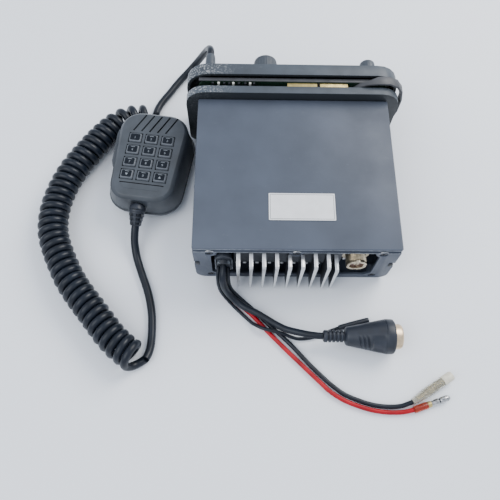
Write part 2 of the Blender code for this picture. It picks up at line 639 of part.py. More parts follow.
# Stations of the slipped seal: x, z of its middle, and where it starts and ends along Y.
SEAL_T = 0.002
SEAL_STATIONS = (
    (-0.0790, 0.0100, 0.0735, 0.0774), (-0.0805, 0.0300, 0.0735, 0.0774),
    (-0.0800, 0.0480, 0.0735, 0.0774), (-0.0740, 0.0560, 0.0735, 0.0774),
    (-0.0600, 0.0570, 0.0735, 0.0774), (-0.0300, 0.0565, 0.0735, 0.0774),
    (0.0000, 0.0562, 0.0735, 0.0774), (0.0220, 0.0564, 0.0735, 0.0774),
    (0.0400, 0.0560, 0.0735, 0.0774), (0.0467, 0.0573, 0.0735, 0.0774),
    (0.0502, 0.0615, 0.0735, 0.0774), (0.0545, 0.0658, 0.0735, 0.0774),
    (0.0610, 0.0684, 0.0735, 0.0776),
    (0.0690, 0.0692, 0.0736, 0.0812), (0.0780, 0.0690, 0.0737, 0.0816),
    (0.0850, 0.0655, 0.0738, 0.0817), (0.0898, 0.0590, 0.0738, 0.0817),
    (0.0918, 0.0490, 0.0738, 0.0817), (0.0918, 0.0350, 0.0738, 0.0817),
    (0.0895, 0.0210, 0.0737, 0.0812), (0.0850, 0.0110, 0.0736, 0.0795),
    (0.0770, 0.0045, 0.0735, 0.0774), (0.0600, 0.0022, 0.0735, 0.0774),
    (0.0200, 0.0020, 0.0735, 0.0774), (-0.0200, 0.0020, 0.0735, 0.0774),
    (-0.0600, 0.0022, 0.0735, 0.0774), (-0.0745, 0.0040, 0.0735, 0.0774),
)


def make_seal():
    """The rubber seal has crept out of the joint at one corner of the panel."""
    rings = []
    count = len(SEAL_STATIONS)
    for i, (x, z, y0, y1) in enumerate(SEAL_STATIONS):
        before, after = SEAL_STATIONS[i - 1], SEAL_STATIONS[(i + 1) % count]
        along = Vector((after[0] - before[0], after[1] - before[1])).normalized()
        side = Vector((-along.y, along.x)) * SEAL_T / 2
        rings.append([(x - side.x, y0, z - side.y), (x + side.x, y0, z + side.y),
                      (x + side.x, y1, z + side.y), (x - side.x, y1, z - side.y)])
    lofted("seal_ring", rings, SEAL_RUBBER, loop=True)


def make_inside():
    board = box("main_board", (-HALF_W + 0.008, REAR_Y + 0.018, 0.020),
                (HALF_W - 0.008, FRONT_Y - 0.006, 0.0216), BOARD_GREEN)
    cans = (("can_left", -0.040, 0.020, 0.046), ("can_right", 0.030, -0.010, 0.040))
    for name, x, y, size in cans:
        join(board, box(name, (x - size / 2, y - size / 2, 0.0210),
                        (x + size / 2, y + size / 2, 0.034)))


def make_label():
    x, y = LABEL_CENTRE
    outline = rectangle((x - LABEL_W / 2, x + LABEL_W / 2), (y - LABEL_L / 2, y + LABEL_L / 2),
                        (0.001,) * 4, 2)
    prism("rating_label", outline, "Z", CASE_H + GAP, CASE_H + GAP + LABEL_T, LABEL_WHITE)


# ================================================================ hand microphone
# The microphone is drawn in its own frame: u across, v towards its top, w up, with
# its middle on the table under the case of the microphone.
BACK_TOP = MIC_FOOT + MIC_BACK_T
SHELL_LOW = BACK_TOP + GAP


def mic_outline(inset, foot_inset=None):
    """The microphone's outline seen from above, drawn in by an inset."""
    end = inset if foot_inset is None else foot_inset
    top, foot, half = MIC_W_TOP / 2 - inset, MIC_W_FOOT / 2 - inset, MIC_L / 2 - end
    corners = [(-foot, -half), (foot, -half), (top, half), (-top, half)]
    low, high = max(MIC_R_FOOT - inset, 0.004), max(MIC_R_TOP - inset, 0.004)
    return rounded(corners, (low, low, high, high), 7)


def mic_shell_rings(stations):
    return [[(u, v, w) for u, v in mic_outline(inset, end)] for inset, end, w in stations]


def make_mic_shells(mic):
    edge = 0.0028
    side, end = MIC_DRAFT, MIC_END_DRAFT
    outer = [(0, 0, SHELL_LOW), (0.0002, 0.0001, SHELL_LOW + 0.003),
             (side * 0.55, end * 0.5, MIC_TOP * 0.62), (side - 0.0012, end, MIC_TOP - edge),
             (side, end + 0.0012, MIC_TOP - edge * 0.45), (side + edge * 0.6, end + edge, MIC_TOP)]
    front = lofted("mic_front_shell", mic_shell_rings(outer), MIC_PLASTIC, mic, smooth=40)
    roof = MIC_TOP - MIC_WALL
    inner = [(MIC_WALL, MIC_WALL, SHELL_LOW - MIC_WALL), (MIC_WALL, MIC_WALL, SHELL_LOW + 0.003),
             (side * 0.55 + MIC_WALL, end * 0.5 + MIC_WALL, MIC_TOP * 0.62),
             (side + MIC_WALL, end + MIC_WALL + 0.001, roof)]
    cut(front, lofted("mic_hollow", mic_shell_rings(inner), None, mic))
    for i, (u, v) in enumerate(mic_key_places()):
        half_u, half_v = MIC_KEY_W / 2 + SLIDE_GAP, MIC_KEY_L / 2 + SLIDE_GAP
        cut(front, box(f"mic_key_hole_{i}", (u - half_u, v - half_v, roof - WALL),
                       (u + half_u, v + half_v, MIC_TOP + WALL), None, mic))
    for i in range(SLOT_COUNT):
        u = SLOT_U + (i - (SLOT_COUNT - 1) / 2) * SLOT_PITCH
        cut(front, slot_cutter(f"mic_slot_{i}", u, mic))
    cut(front, ptt_window(mic))
    cut(front, rod("mic_boot_hole", MIC_BOOT_R0 - 0.0008, (MIC_BOOT_U, -MIC_L / 2 + 0.012, MIC_BOOT_W),
                   (0, -1, 0), 0.02, None, mic, 12))
    back = [(0.0016, 0.0016, MIC_FOOT), (0.0004, 0.0004, MIC_FOOT + 0.0012), (0, 0, MIC_FOOT + 0.0024),
            (0, 0, BACK_TOP)]
    shell = lofted("mic_back_shell", mic_shell_rings(back), MIC_PLASTIC, mic, smooth=40)
    cut(shell, prism("mic_back_hollow", mic_outline(MIC_WALL), "Z", MIC_FOOT + MIC_WALL,
                     BACK_TOP + WALL, None, mic))
    join(shell, turned("hanger_button", [(0, 0), (MIC_FOOT_R, 0), (MIC_FOOT_R, 0.0018),
                                         (MIC_FOOT_R * 0.6, 0.0024), (MIC_FOOT_R * 0.6, MIC_FOOT + 0.001),
                                         (0, MIC_FOOT + 0.001)], (0, 0, 0), (0, 0, 1), None, mic))


def mic_key_places():
    """Twelve keys, row by row from the microphone's top, left to right."""
    places = []
    for row in range(4):
        for column in range(3):
            places.append(((column - 1) * MIC_KEY_PITCH_U,
                           MIC_KEY_V + (1.5 - row) * MIC_KEY_PITCH_V))
    return places


def slot_cutter(name, u, mic):
    """One slanting slot of the microphone's mouth, cut right through the face."""
    along = Vector((math.cos(SLOT_SLANT), math.sin(SLOT_SLANT)))
    side = Vector((-along.y, along.x)) * SLOT_W / 2
    middle = Vector((u, SLOT_V))
    a, b = middle - along * SLOT_LEN / 2, middle + along * SLOT_LEN / 2
    outline = [tuple(a - side), tuple(b - side), tuple(b + side), tuple(a + side)]
    return prism(name, outline, "Z", MIC_TOP - 2 * MIC_WALL, MIC_TOP + WALL, None, mic)


def side_at(v, w):
    """Half the microphone's width at a height, part of the way along it."""
    share = (v + MIC_L / 2) / MIC_L
    half = (MIC_W_FOOT + (MIC_W_TOP - MIC_W_FOOT) * share) / 2
    return half - MIC_DRAFT * max(w - SHELL_LOW, 0) / (MIC_TOP - SHELL_LOW)


def ptt_window(mic):
    half = side_at(PTT_V, PTT_W)
    half_v, half_w = PTT_L / 2 + SLIDE_GAP, PTT_H / 2 + SLIDE_GAP
    return box("mic_ptt_window", (-half - WALL, PTT_V - half_v, PTT_W - half_w),
               (-half + PTT_T + PTT_TRAVEL + SLIDE_GAP, PTT_V + half_v, PTT_W + half_w), None, mic)


def make_ptt(mic):
    """The talk lever on the microphone's left side; it slides straight in."""
    half = side_at(PTT_V, PTT_W)
    low, high = PTT_V - PTT_L / 2, PTT_V + PTT_L / 2
    lean = side_at(high, PTT_W) - side_at(low, PTT_W)
    proud = 0.0014
    outline = [(-half + PTT_T, low), (-half + lean / 2 - proud * 0.2, low),
               (-half + lean / 4 - proud, low + 0.005), (-half - lean / 4 - proud, high - 0.005),
               (-half - lean / 2 - proud * 0.2, high), (-half + PTT_T, high)]
    lever = prism("mic_ptt_lever", outline, "Z", PTT_W - PTT_H / 2, PTT_W + PTT_H / 2,
                  KEY_PLASTIC, mic)
    move_origin(lever, (-half, PTT_V, PTT_W))


def make_mic_keys(mic):
    roof = MIC_TOP - MIC_WALL
    for i, (u, v) in enumerate(mic_key_places()):
        wide = [(MIC_KEY_FLANGE + SLIDE_GAP, roof - GAP - 0.001), (MIC_KEY_FLANGE + SLIDE_GAP, roof - GAP),
                (0, roof - GAP), (0, MIC_TOP + MIC_KEY_PROUD * 0.5),
                (-MIC_KEY_TOP_INSET, MIC_TOP + MIC_KEY_PROUD)]
        rings = []
        for grow, w in wide:
            a, b = MIC_KEY_W / 2 + min(grow, 0), MIC_KEY_L / 2 + grow
            outline = rectangle((u - a, u + a), (v - b, v + b), (0.0012,) * 4, 2)
            rings.append([(p, q, w) for p, q in outline])
        key = lofted(f"mic_key_{i + 1}", rings, KEY_PLASTIC, mic)
        move_origin(key, (u, v, MIC_TOP))


def make_mic_board(mic):
    top = MIC_TOP - MIC_WALL - GAP - 0.001 - MIC_KEY_TRAVEL - 2 * GAP
    half_v = 2 * MIC_KEY_PITCH_V
    half_u = side_at(MIC_KEY_V - half_v, top) - 2 * MIC_WALL
    board = box("mic_board", (-half_u, MIC_KEY_V - half_v, top - MIC_BOARD_T),
                (half_u, MIC_KEY_V + half_v, top), BOARD_GREEN, mic)
    join(board, rod("mic_capsule", 0.0048, (0, MIC_KEY_V + half_v - 0.006, top - MIC_BOARD_T + 0.0004),
                    (0, 0, -1), 0.007, None, mic, 16))


def make_mic_boot(mic):
    start = -MIC_L / 2 - GAP - MIC_BOOT_R0 * MIC_BOOT_DROOP
    flange, count = 0.0035, 3
    pitch = (MIC_BOOT_L - flange) / count
    ribs = [(0, 0), (MIC_BOOT_R0, 0), (MIC_BOOT_R0, flange)]
    for i in range(count):
        radius = MIC_BOOT_R0 + (MIC_BOOT_R1 - MIC_BOOT_R0) * (i + 1) / count
        y = flange + pitch * i
        ribs += [(radius * 0.82, y), (radius * 0.82, y + pitch * 0.4), (radius, y + pitch * 0.4),
                 (radius, y + pitch)]
    ribs.append((0, ribs[-1][1]))
    turned("mic_boot", ribs, (MIC_BOOT_U, start, MIC_BOOT_W), (0, -1, -MIC_BOOT_DROOP),
           BLACK_RUBBER, mic, 16)


def make_microphone():
    mic = bpy.data.objects.new("mic_frame", None)
    bpy.context.scene.collection.objects.link(mic)
    mic.location = (*MIC_CENTRE, 0)
    mic.rotation_euler = (0, 0, MIC_YAW)
    make_mic_shells(mic)
    make_ptt(mic)
    make_mic_keys(mic)
    make_mic_board(mic)
    make_mic_boot(mic)


# ================================================================ leads
# Routes are lists of points in millimetres, from the exit to the far end.
def metres(points):
    return [tuple(c / 1000 for c in p) for p in points]


RADIO_LEAD = metres([
    (-69.5, 121.2, 47), (-69.6, 125.5, 46.8), (-70.6, 131.5, 43.5), (-73.0, 137.0, 36.5),
    (-76.6, 141.0, 27.5), (-81.5, 143.0, 18.0), (-87.5, 142.0, 9.8), (-93.8, 137.5, 5.0),
    (-99.6, 130.8, 3.5), (-104.9, 122.8, 3.3), (-109.4, 115.0, 3.3), (-114.4, 107.2, 3.3),
    (-118.0, 100.5, 3.3), (-120.0, 95.2, 3.5), (-120.6, 90.8, 4.4)])
COIL_AXIS = metres([
    (-122.0, -135.5, 12.6), (-133.3, -127.0, 12.6), (-143.0, -117.2, 12.6), (-151.4, -106.9, 12.6),
    (-165.5, -89.9, 12.6), (-173.8, -79.2, 12.6), (-180.8, -67.9, 12.6), (-190.1, -49.4, 12.6),
    (-195.0, -36.5, 12.6), (-196.9, -22.0, 12.6), (-196.0, -6.8, 12.6), (-192.0, 9.7, 12.6),
    (-184.9, 27.0, 12.6), (-176.5, 41.0, 12.6), (-168.0, 54.6, 12.6), (-159.8, 66.2, 12.4),
    (-150.8, 75.6, 11.9), (-140.0, 81.4, 11.0), (-127.0, 83.2, 10.3)])
MIC_LEAD = metres([
    (-128.3, -29.0, 15.6), (-128.6, -31.4, 14.4), (-129.0, -35.4, 12.0), (-129.2, -40.2, 8.9),
    (-128.6, -45.6, 6.0), (-127.4, -51.4, 4.1),
    (-125.4, -57.5, 3.3), (-121.8, -67.0, 3.3), (-118.1, -76.2, 3.3), (-115.2, -84.5, 3.3),
    (-113.0, -93.0, 3.3), (-111.5, -101.5, 3.3), (-110.8, -110.0, 3.3), (-110.5, -118.5, 3.3),
    (-110.8, -126.0, 3.4), (-112.0, -132.0, 4.2), (-113.6, -136.2, 5.6)])
ACCESSORY_ROUTE = metres([
    (-54.8, -70.9, 34.6), (-54.8, -73.2, 34.5), (-55.0, -77.0, 33.2), (-55.2, -80.3, 30.2),
    (-54.9, -82.5, 25.6), (-53.8, -83.8, 19.8), (-51.4, -85.6, 13.6), (-47.4, -88.4, 9.0),
    (-42.7, -91.9, 7.0),
    (-37.5, -95.3, 6.8), (-30.0, -98.9, 6.8), (-22.0, -103.6, 6.8), (-14.0, -108.6, 7.2),
    (-6.1, -112.9, 8.6), (1.7, -115.5, 10.6), (9.3, -117.6, 12.4), (16.0, -118.9, 13.5),
    (21.7, -119.5, 13.7)])
RED_ROUTE = metres([
    (-55.4, -70.9, 29.2), (-55.4, -72.4, 29.1), (-55.4, -74.8, 28.0), (-55.4, -77.0, 25.4),
    (-55.2, -78.2, 21.5), (-54.8, -78.6, 17.0), (-54.0, -79.8, 12.0), (-52.2, -82.3, 7.0),
    (-48.6, -86.1, 3.2), (-43.0, -90.8, 1.9),
    (-37.0, -95.8, 1.8), (-31.0, -101.3, 1.8), (-26.0, -106.6, 1.8), (-20.8, -112.3, 1.8),
    (-15.7, -117.6, 1.8), (-9.8, -123.6, 1.8), (-3.8, -129.6, 1.8), (5.0, -138.2, 1.8),
    (12.5, -145.5, 1.8), (19.5, -152.2, 1.8), (26.4, -158.8, 1.8), (36.9, -165.6, 1.8),
    (47.7, -169.9, 1.8), (58.3, -172.9, 1.8), (69.0, -174.3, 1.8), (80.2, -174.2, 2.1),
    (89.0, -172.6, 2.9)])
BLACK_ROUTE = metres([
    (-51.4, -70.9, 31.0), (-51.4, -72.5, 30.9), (-51.4, -75.2, 29.4), (-51.4, -77.4, 26.2),
    (-51.1, -78.8, 21.6), (-50.6, -79.8, 16.5), (-49.1, -81.4, 11.2), (-46.2, -83.5, 6.8),
    (-42.2, -86.4, 3.6), (-37.5, -90.2, 2.1),
    (-33.5, -93.6, 1.8), (-28.5, -98.2, 1.8), (-24.0, -102.6, 1.8), (-19.8, -106.8, 1.8),
    (-15.6, -110.8, 1.8), (-11.0, -115.0, 1.8), (-5.7, -119.9, 1.8), (0.1, -125.8, 1.8),
    (5.9, -132.1, 1.8), (12.8, -139.6, 1.8), (20.2, -146.9, 1.8), (27.6, -153.8, 1.8),
    (37.6, -161.2, 1.8), (48.1, -165.7, 1.8), (58.7, -168.9, 1.8), (69.2, -170.2, 1.9),
    (79.4, -169.8, 2.5), (88.6, -166.9, 4.0)])
THIN_ROUTE = metres([
    (-58.8, -70.9, 32.0), (-58.8, -72.6, 31.9), (-59.0, -75.4, 30.6), (-59.1, -78.3, 27.5),
    (-58.7, -81.4, 21.5),
    (-57.1, -84.2, 15.0), (-54.3, -86.6, 9.0), (-50.3, -89.9, 4.6), (-45.5, -94.2, 2.0),
    (-40.6, -98.7, 1.5), (-36.4, -102.7, 1.5), (-32.2, -106.6, 2.4), (-27.8, -109.6, 4.6),
    (-23.0, -111.9, 5.7), (-17.8, -113.2, 5.8), (-12.6, -114.4, 5.7), (-7.2, -116.0, 5.2),
    (-1.5, -117.8, 3.0), (4.0, -118.9, 1.6), (13.0, -118.2, 1.5), (20.0, -116.2, 1.5),
    (27.0, -113.3, 1.5), (34.0, -110.7, 1.6), (42.0, -108.3, 2.0), (52.0, -105.6, 2.2),
    (60.5, -103.4, 2.2)])


def make_cords():
    tube("mic_cord_radio_lead", RADIO_LEAD, MIC_LEAD_R, 0.008, CORD_BLACK)
    tube("mic_cord_coil", COIL_AXIS, COIL_R, 0.012, CORD_BLACK, (0.75, COIL_END_R / COIL_R), 3)
    tube("mic_cord_mic_lead", MIC_LEAD, MIC_LEAD_R, 0.008, CORD_BLACK)
    tube("accessory_cable", ACCESSORY_ROUTE, ACCESSORY_R, 0.006, CORD_BLACK)
    tube("power_lead_red", RED_ROUTE, POWER_R, 0.0055, LEAD_RED)
    tube("power_lead_black", BLACK_ROUTE, POWER_R, 0.0055, CORD_BLACK)
    tube("thin_lead", THIN_ROUTE, THIN_R, 0.005, CORD_BLACK)


def make_plug():
    y, z = PLUG_AXIS
    relief, neck, shoulder, mouth = PLUG_X
    ribs, pitch = [(0, 0), (PLUG_NECK_R, 0)], (neck - relief) / 4.5
    for i in range(4):
        x = pitch * (i + 1)
        ribs += [(PLUG_NECK_R, x - pitch * 0.45), (PLUG_NECK_R * 0.78, x - pitch * 0.4),
                 (PLUG_NECK_R * 0.78, x - pitch * 0.05), (PLUG_NECK_R, x)]
    length = shoulder - relief
    body = ribs + [(PLUG_NECK_R, neck - relief), (PLUG_R * 0.52, neck - relief + 0.001),
                   (PLUG_R * 0.80, length * 0.68), (PLUG_R * 0.97, length * 0.88),
                   (PLUG_R, length * 0.90), (PLUG_R, length - 0.003), (PLUG_R * 0.93, length)]
    seat = RING_R + GAP
    body += [(seat, length), (seat, length - RING_DEEP), (0, length - RING_DEEP)]
    turned("accessory_plug", body, (relief, y, z), (1, 0, 0), BLACK_RUBBER, sides=20)
    inner, floor = RING_R - RING_WALL, 0.0015
    start = shoulder - RING_DEEP + GAP
    deep = mouth - start
    ring = [(0, 0), (RING_R, 0), (RING_R, deep - 0.0005), (RING_R - 0.0005, deep), (inner, deep),
            (inner, floor), (0, floor)]
    turned("accessory_plug_shell", ring, (start, y, z), (1, 0, 0), PLUG_METAL, sides=20)


def end_frame(route):
    """Where a lead ends, and the direction that it ends in."""
    a, b = Vector(route[-2]), Vector(route[-1])
    return b, (b - a).normalized()


def make_bullets():
    end, _ = end_frame(RED_ROUTE)
    towards = (Vector((0.1172, -0.1632, 0.0033)) - end).normalized()
    pin = [(0, 0), (0.0027, 0), (0.0027, 0.009), (0.0019, 0.0105), (0.0019, 0.017),
           (0.0023, 0.0176), (0.0023, 0.0200), (0.0016, 0.0206), (0.0016, 0.0214), (0.0023, 0.0220),
           (0.0023, 0.0275), (0.0012, 0.0296), (0, 0.0296)]
    turned("bullet_pin", pin, end + towards * GAP * 1.5, towards, PIN_STEEL, sides=12)
    end, _ = end_frame(BLACK_ROUTE)
    towards = (Vector((0.1204, -0.147, 0.0042)) - end).normalized()
    socket = [(0, 0), (0.0024, 0), (0.0030, 0.005), (0.0037, 0.012), (0.0037, 0.0375),
              (0.0022, 0.0375), (0.0022, 0.0290), (0, 0.0290)]
    turned("bullet_socket", socket, end + towards * GAP * 1.5, towards, CLEAR_SLEEVE, sides=12)


def main():
    for obj in list(bpy.data.objects):
        bpy.data.objects.remove(obj, do_unlink=True)
    make_case()
    make_cover()
    make_screws()
    make_heat_sink()
    make_antenna_socket()
    make_gland()
    make_cowl()
    make_seal()
    make_bezel()
    make_display()
    make_control("volume", "volume_pot", "volume_knob", VOLUME_X, VOLUME_Z, VOLUME_R, VOLUME_L)
    make_control("channel", "channel_encoder", "channel_knob", CHANNEL_X, CHANNEL_Z, CHANNEL_R,
                 CHANNEL_L)
    make_panel_keys()
    make_front_boot()
    make_inside()
    make_label()
    make_microphone()
    make_cords()
    make_plug()
    make_bullets()


main()
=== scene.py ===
"""Looks for the mobile transceiver: leads, plugs, keys, small fittings and every material.

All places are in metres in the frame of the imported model, whose solids stay where
they are. +Z is up and the rear, with the heat sink, faces -Y.
"""
import json
import math
import random

import bmesh
import bpy
from mathutils import Matrix, Vector
from mathutils.geometry import convex_hull_2d


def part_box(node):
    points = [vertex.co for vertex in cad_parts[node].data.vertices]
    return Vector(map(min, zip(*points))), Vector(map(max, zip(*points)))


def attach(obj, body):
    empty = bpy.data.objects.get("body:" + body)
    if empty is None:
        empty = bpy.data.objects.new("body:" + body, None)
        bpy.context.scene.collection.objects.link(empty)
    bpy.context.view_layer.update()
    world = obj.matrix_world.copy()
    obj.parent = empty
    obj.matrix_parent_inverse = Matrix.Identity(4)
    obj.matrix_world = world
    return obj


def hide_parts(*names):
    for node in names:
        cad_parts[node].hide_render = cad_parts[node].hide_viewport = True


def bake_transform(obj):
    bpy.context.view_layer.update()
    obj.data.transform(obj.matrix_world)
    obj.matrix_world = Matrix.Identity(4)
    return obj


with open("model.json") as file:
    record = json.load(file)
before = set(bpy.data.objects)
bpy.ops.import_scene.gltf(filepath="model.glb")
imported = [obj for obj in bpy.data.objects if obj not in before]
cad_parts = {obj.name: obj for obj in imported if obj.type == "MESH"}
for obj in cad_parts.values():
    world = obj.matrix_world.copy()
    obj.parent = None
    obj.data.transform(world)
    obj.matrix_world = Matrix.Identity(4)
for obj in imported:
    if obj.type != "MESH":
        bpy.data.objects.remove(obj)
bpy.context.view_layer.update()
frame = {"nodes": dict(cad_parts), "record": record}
NODES = frame["nodes"]
random.seed(7)

REAR_FACE = -0.0665             # the case's rear face
SOCKET_X, SOCKET_Z = 0.047, 0.034
SOCKET_FLANGE = -0.0585
SHARP_ANGLE = 35                # degrees; edges over this stay sharp
WEB_FOOT, WEB_TOP = 0.0245, 0.0470
PAPER = 0.00002                 # how far a print stands off its plate


# ================================================================ camera and light
CAMERA_AT = (-0.0409, -0.2219, 0.4307)
CAMERA_PITCH = math.radians(67.43)      # looking down
CAMERA_YAW = math.radians(2.22)
CAMERA_ROLL = math.radians(2.57)
CAMERA_LENS = 40.02


def make_camera():
    data = bpy.data.cameras.new("camera")
    data.lens = CAMERA_LENS
    data.sensor_width = 36
    data.clip_start = 0.01
    camera = bpy.data.objects.new("camera", data)
    bpy.context.scene.collection.objects.link(camera)
    p, w, r = CAMERA_PITCH, CAMERA_YAW, CAMERA_ROLL
    ahead = Vector((math.sin(w) * math.cos(p), math.cos(w) * math.cos(p), -math.sin(p)))
    level = Vector((math.cos(w), -math.sin(w), 0))
    above = level.cross(ahead)
    right = math.cos(r) * level + math.sin(r) * above
    up = math.cos(r) * above - math.sin(r) * level
    turn = Matrix((right, up, -ahead)).transposed()
    camera.matrix_world = Matrix.Translation(CAMERA_AT) @ turn.to_4x4()
    bpy.context.scene.camera = camera


def make_lamp(name, at, towards, size, power, colour):
    data = bpy.data.lights.new(name, "AREA")
    data.shape = "DISK"
    data.size = size
    data.energy = power
    data.color = colour
    lamp = bpy.data.objects.new(name, data)
    bpy.context.scene.collection.objects.link(lamp)
    aim = (Vector(towards) - Vector(at)).to_track_quat("-Z", "Y")
    lamp.matrix_world = Matrix.Translation(at) @ aim.to_matrix().to_4x4()


def make_studio():
    world = bpy.data.worlds.new("studio")
    world.use_nodes = True
    sky = world.node_tree.nodes["Background"]
    sky.inputs["Color"].default_value = (0.80, 0.87, 1.0, 1.0)
    sky.inputs["Strength"].default_value = 1.14
    bpy.context.scene.world = world
    make_lamp("window", (0.9, 0.75, 1.1), (0, 0, 0), 1.1, 27.0, (1.0, 0.985, 0.96))
    make_lamp("fill", (-0.9, -0.5, 1.3), (0, 0, 0), 1.4, 14.0, (0.94, 0.97, 1.0))
    floor = mesh_piece("floor", *grid_plane(3.0, -0.0002))
    floor.data.materials.append(floor_look())


# ================================================================ materials
class Look:
    """A node material; each method adds a node and returns its output."""

    def __init__(self, name, colour, roughness, metallic=0.0):
        self.mat = bpy.data.materials.new(name)
        self.mat.use_nodes = True
        self.tree = self.mat.node_tree
        self.shader = self.tree.nodes["Principled BSDF"]
        self.set("Base Color", (*colour, 1.0))
        self.set("Roughness", roughness)
        self.set("Metallic", metallic)
        self.place = self.add("ShaderNodeTexCoord").outputs["Object"]

    def add(self, kind, **settings):
        node = self.tree.nodes.new(kind)
        for key, value in settings.items():
            setattr(node, key, value)
        return node

    def link(self, source, socket):
        self.tree.links.new(source, socket)

    def set(self, name, value):
        self.shader.inputs[name].default_value = value

    def feed(self, name, source):
        self.link(source, self.shader.inputs[name])

    def stretched(self, scale, turn=(0, 0, 0)):
        node = self.add("ShaderNodeMapping")
        node.inputs["Scale"].default_value = scale
        node.inputs["Rotation"].default_value = turn
        self.link(self.place, node.inputs["Vector"])
        return node.outputs["Vector"]

    def noise(self, scale, detail=3.0, place=None, rough=0.5):
        node = self.add("ShaderNodeTexNoise")
        node.inputs["Scale"].default_value = scale
        node.inputs["Detail"].default_value = detail
        node.inputs["Roughness"].default_value = rough
        self.link(place or self.place, node.inputs["Vector"])
        return node.outputs["Fac"]

    def ranged(self, source, low, high, to_low, to_high):
        node = self.add("ShaderNodeMapRange")
        for i, value in enumerate((low, high, to_low, to_high)):
            node.inputs[i + 1].default_value = value
        self.link(source, node.inputs[0])
        return node.outputs[0]

    def maths(self, how, a, b=0.5):
        node = self.add("ShaderNodeMath", operation=how)
        for i, value in enumerate((a, b)):
            if isinstance(value, (int, float)):
                node.inputs[i].default_value = value
            else:
                self.link(value, node.inputs[i])
        return node.outputs[0]

    def mixed(self, share, a, b):
        node = self.add("ShaderNodeMix", data_type="RGBA")
        if isinstance(share, float):
            node.inputs[0].default_value = share
        else:
            self.link(share, node.inputs[0])
        for i, value in ((6, a), (7, b)):
            if isinstance(value, tuple):
                node.inputs[i].default_value = (*value, 1.0)
            else:
                self.link(value, node.inputs[i])
        return node.outputs[2]

    def axes(self, source=None):
        node = self.add("ShaderNodeSeparateXYZ")
        self.link(source or self.place, node.inputs[0])
        return node.outputs

    def bumped(self, height, strength, depth):
        node = self.add("ShaderNodeBump")
        node.inputs["Strength"].default_value = strength
        node.inputs["Distance"].default_value = depth
        self.link(height, node.inputs["Height"])
        old = self.shader.inputs["Normal"].links
        if old:
            self.link(old[0].from_socket, node.inputs["Normal"])
        self.feed("Normal", node.outputs["Normal"])


def times(colour, share):
    return tuple(min(c * share, 1.0) for c in colour)


def surface(name, colour, roughness, metallic=0.0, spread=0.2, patch=45.0, grain=2600.0,
            bump=0.15, depth=0.00012, scuffs=0.0, scuff_colour=(0.5, 0.5, 0.5), vary=0.08,
            shine=0.5):
    """Moulded, painted or metal surface: patches of tone, grain, and rubbed streaks."""
    look = Look(name, colour, roughness, metallic)
    look.set("Specular IOR Level", shine)
    patches = look.noise(patch, 5.0)
    tone = look.mixed(look.ranged(patches, 0.3, 0.7, 0.0, 1.0),
                      times(colour, 1 - spread), times(colour, 1 + spread))
    rough = look.ranged(patches, 0.3, 0.7, roughness + vary, roughness - vary)
    if scuffs:
        streaks = look.noise(70.0, 6.0, look.stretched((1.0, 6.0, 3.0), (0, 0, 0.5)), 0.65)
        where = look.ranged(streaks, 0.60, 0.72, 0.0, scuffs)
        specks = look.ranged(look.noise(900.0, 2.0), 0.5, 0.62, 0.0, 1.0)
        tone = look.mixed(look.maths("MULTIPLY", where, specks), tone, scuff_colour)
    look.feed("Base Color", tone)
    look.feed("Roughness", rough)
    if bump:
        look.bumped(look.noise(grain, 2.0), bump, depth)
    return look


def floor_look():
    return surface("floor", (0.86, 0.885, 0.92), 0.6, spread=0.02, patch=3.0, grain=300.0,
                   bump=0.03).mat


def case_paint_look():
    """Fine orange-peel paint with rubbed streaks."""
    return surface("case_paint", (0.062, 0.074, 0.099), 0.46, spread=0.16, patch=28.0, grain=2400.0,
                   bump=0.35, scuffs=0.14, scuff_colour=(0.22, 0.24, 0.28), shine=0.36)


def panel_look():
    """Moulded panel with white rubbed specks on its corners; its faces turned towards -Y are painted
    near-black as shade.
    """
    look = surface("panel_plastic", (0.043, 0.054, 0.068), 0.48, spread=0.25, patch=50.0, bump=0.3,
                   scuffs=0.25, scuff_colour=(0.30, 0.32, 0.34))
    ends = look.ranged(look.axes()[0], -0.045, -0.082, 0.0, 1.0)
    specks = look.ranged(look.noise(750.0, 5.0, None, 0.72), 0.53, 0.60, 0.0, 0.85)
    old = look.shader.inputs["Base Color"].links[0].from_socket
    worn = look.mixed(look.maths("MULTIPLY", ends, specks), old, (0.55, 0.56, 0.56))
    # painted shade: faces turned towards -Y get a near-black tone that stands for their shade
    normal = look.add("ShaderNodeNewGeometry").outputs["Normal"]
    rear_face_shade = look.ranged(look.axes(normal)[1], -0.5, -0.85, 0.0, 0.9)
    look.feed("Base Color", look.mixed(rear_face_shade, worn, (0.008, 0.010, 0.012)))
    return look


def sink_look():
    """Cast aluminium with painted light: dark rough sides and gap faces as painted shade, bright tops
    and edges as painted highlight.
    """
    look = Look("cast_aluminium", (0.5, 0.5, 0.52), 0.4, 0.85)
    normal = look.add("ShaderNodeNewGeometry").outputs["Normal"]
    facing = look.axes(normal)
    across = look.ranged(look.maths("ABSOLUTE", facing[0]), 0.35, 0.85, 0.0, 1.0)
    inner = look.ranged(look.axes()[1], -0.0774, -0.0762, 0.0, 1.0)
    level = look.ranged(facing[2], 0.4, 0.8, 1.0, 0.0)
    # painted shade: sideways faces, and faces deep in the gaps that do not face up, take the dark tone
    side = look.maths("MAXIMUM", across, look.maths("MULTIPLY", inner, level))
    cast = look.noise(420.0, 5.0, None, 0.6)
    # lit and shaded copies of one metal: the bright tone is painted highlight, the dark tone painted
    # shade
    bright = look.mixed(cast, (0.62, 0.63, 0.63), (0.95, 0.95, 0.94))
    dark = look.mixed(cast, (0.045, 0.048, 0.055), (0.14, 0.15, 0.165))
    look.feed("Base Color", look.mixed(side, bright, dark))
    look.feed("Roughness", look.ranged(side, 0.0, 1.0, 0.30, 0.55))
    look.bumped(look.noise(1500.0, 3.0, look.stretched((1, 1, 0.2))), 0.2, 0.0001)
    return look


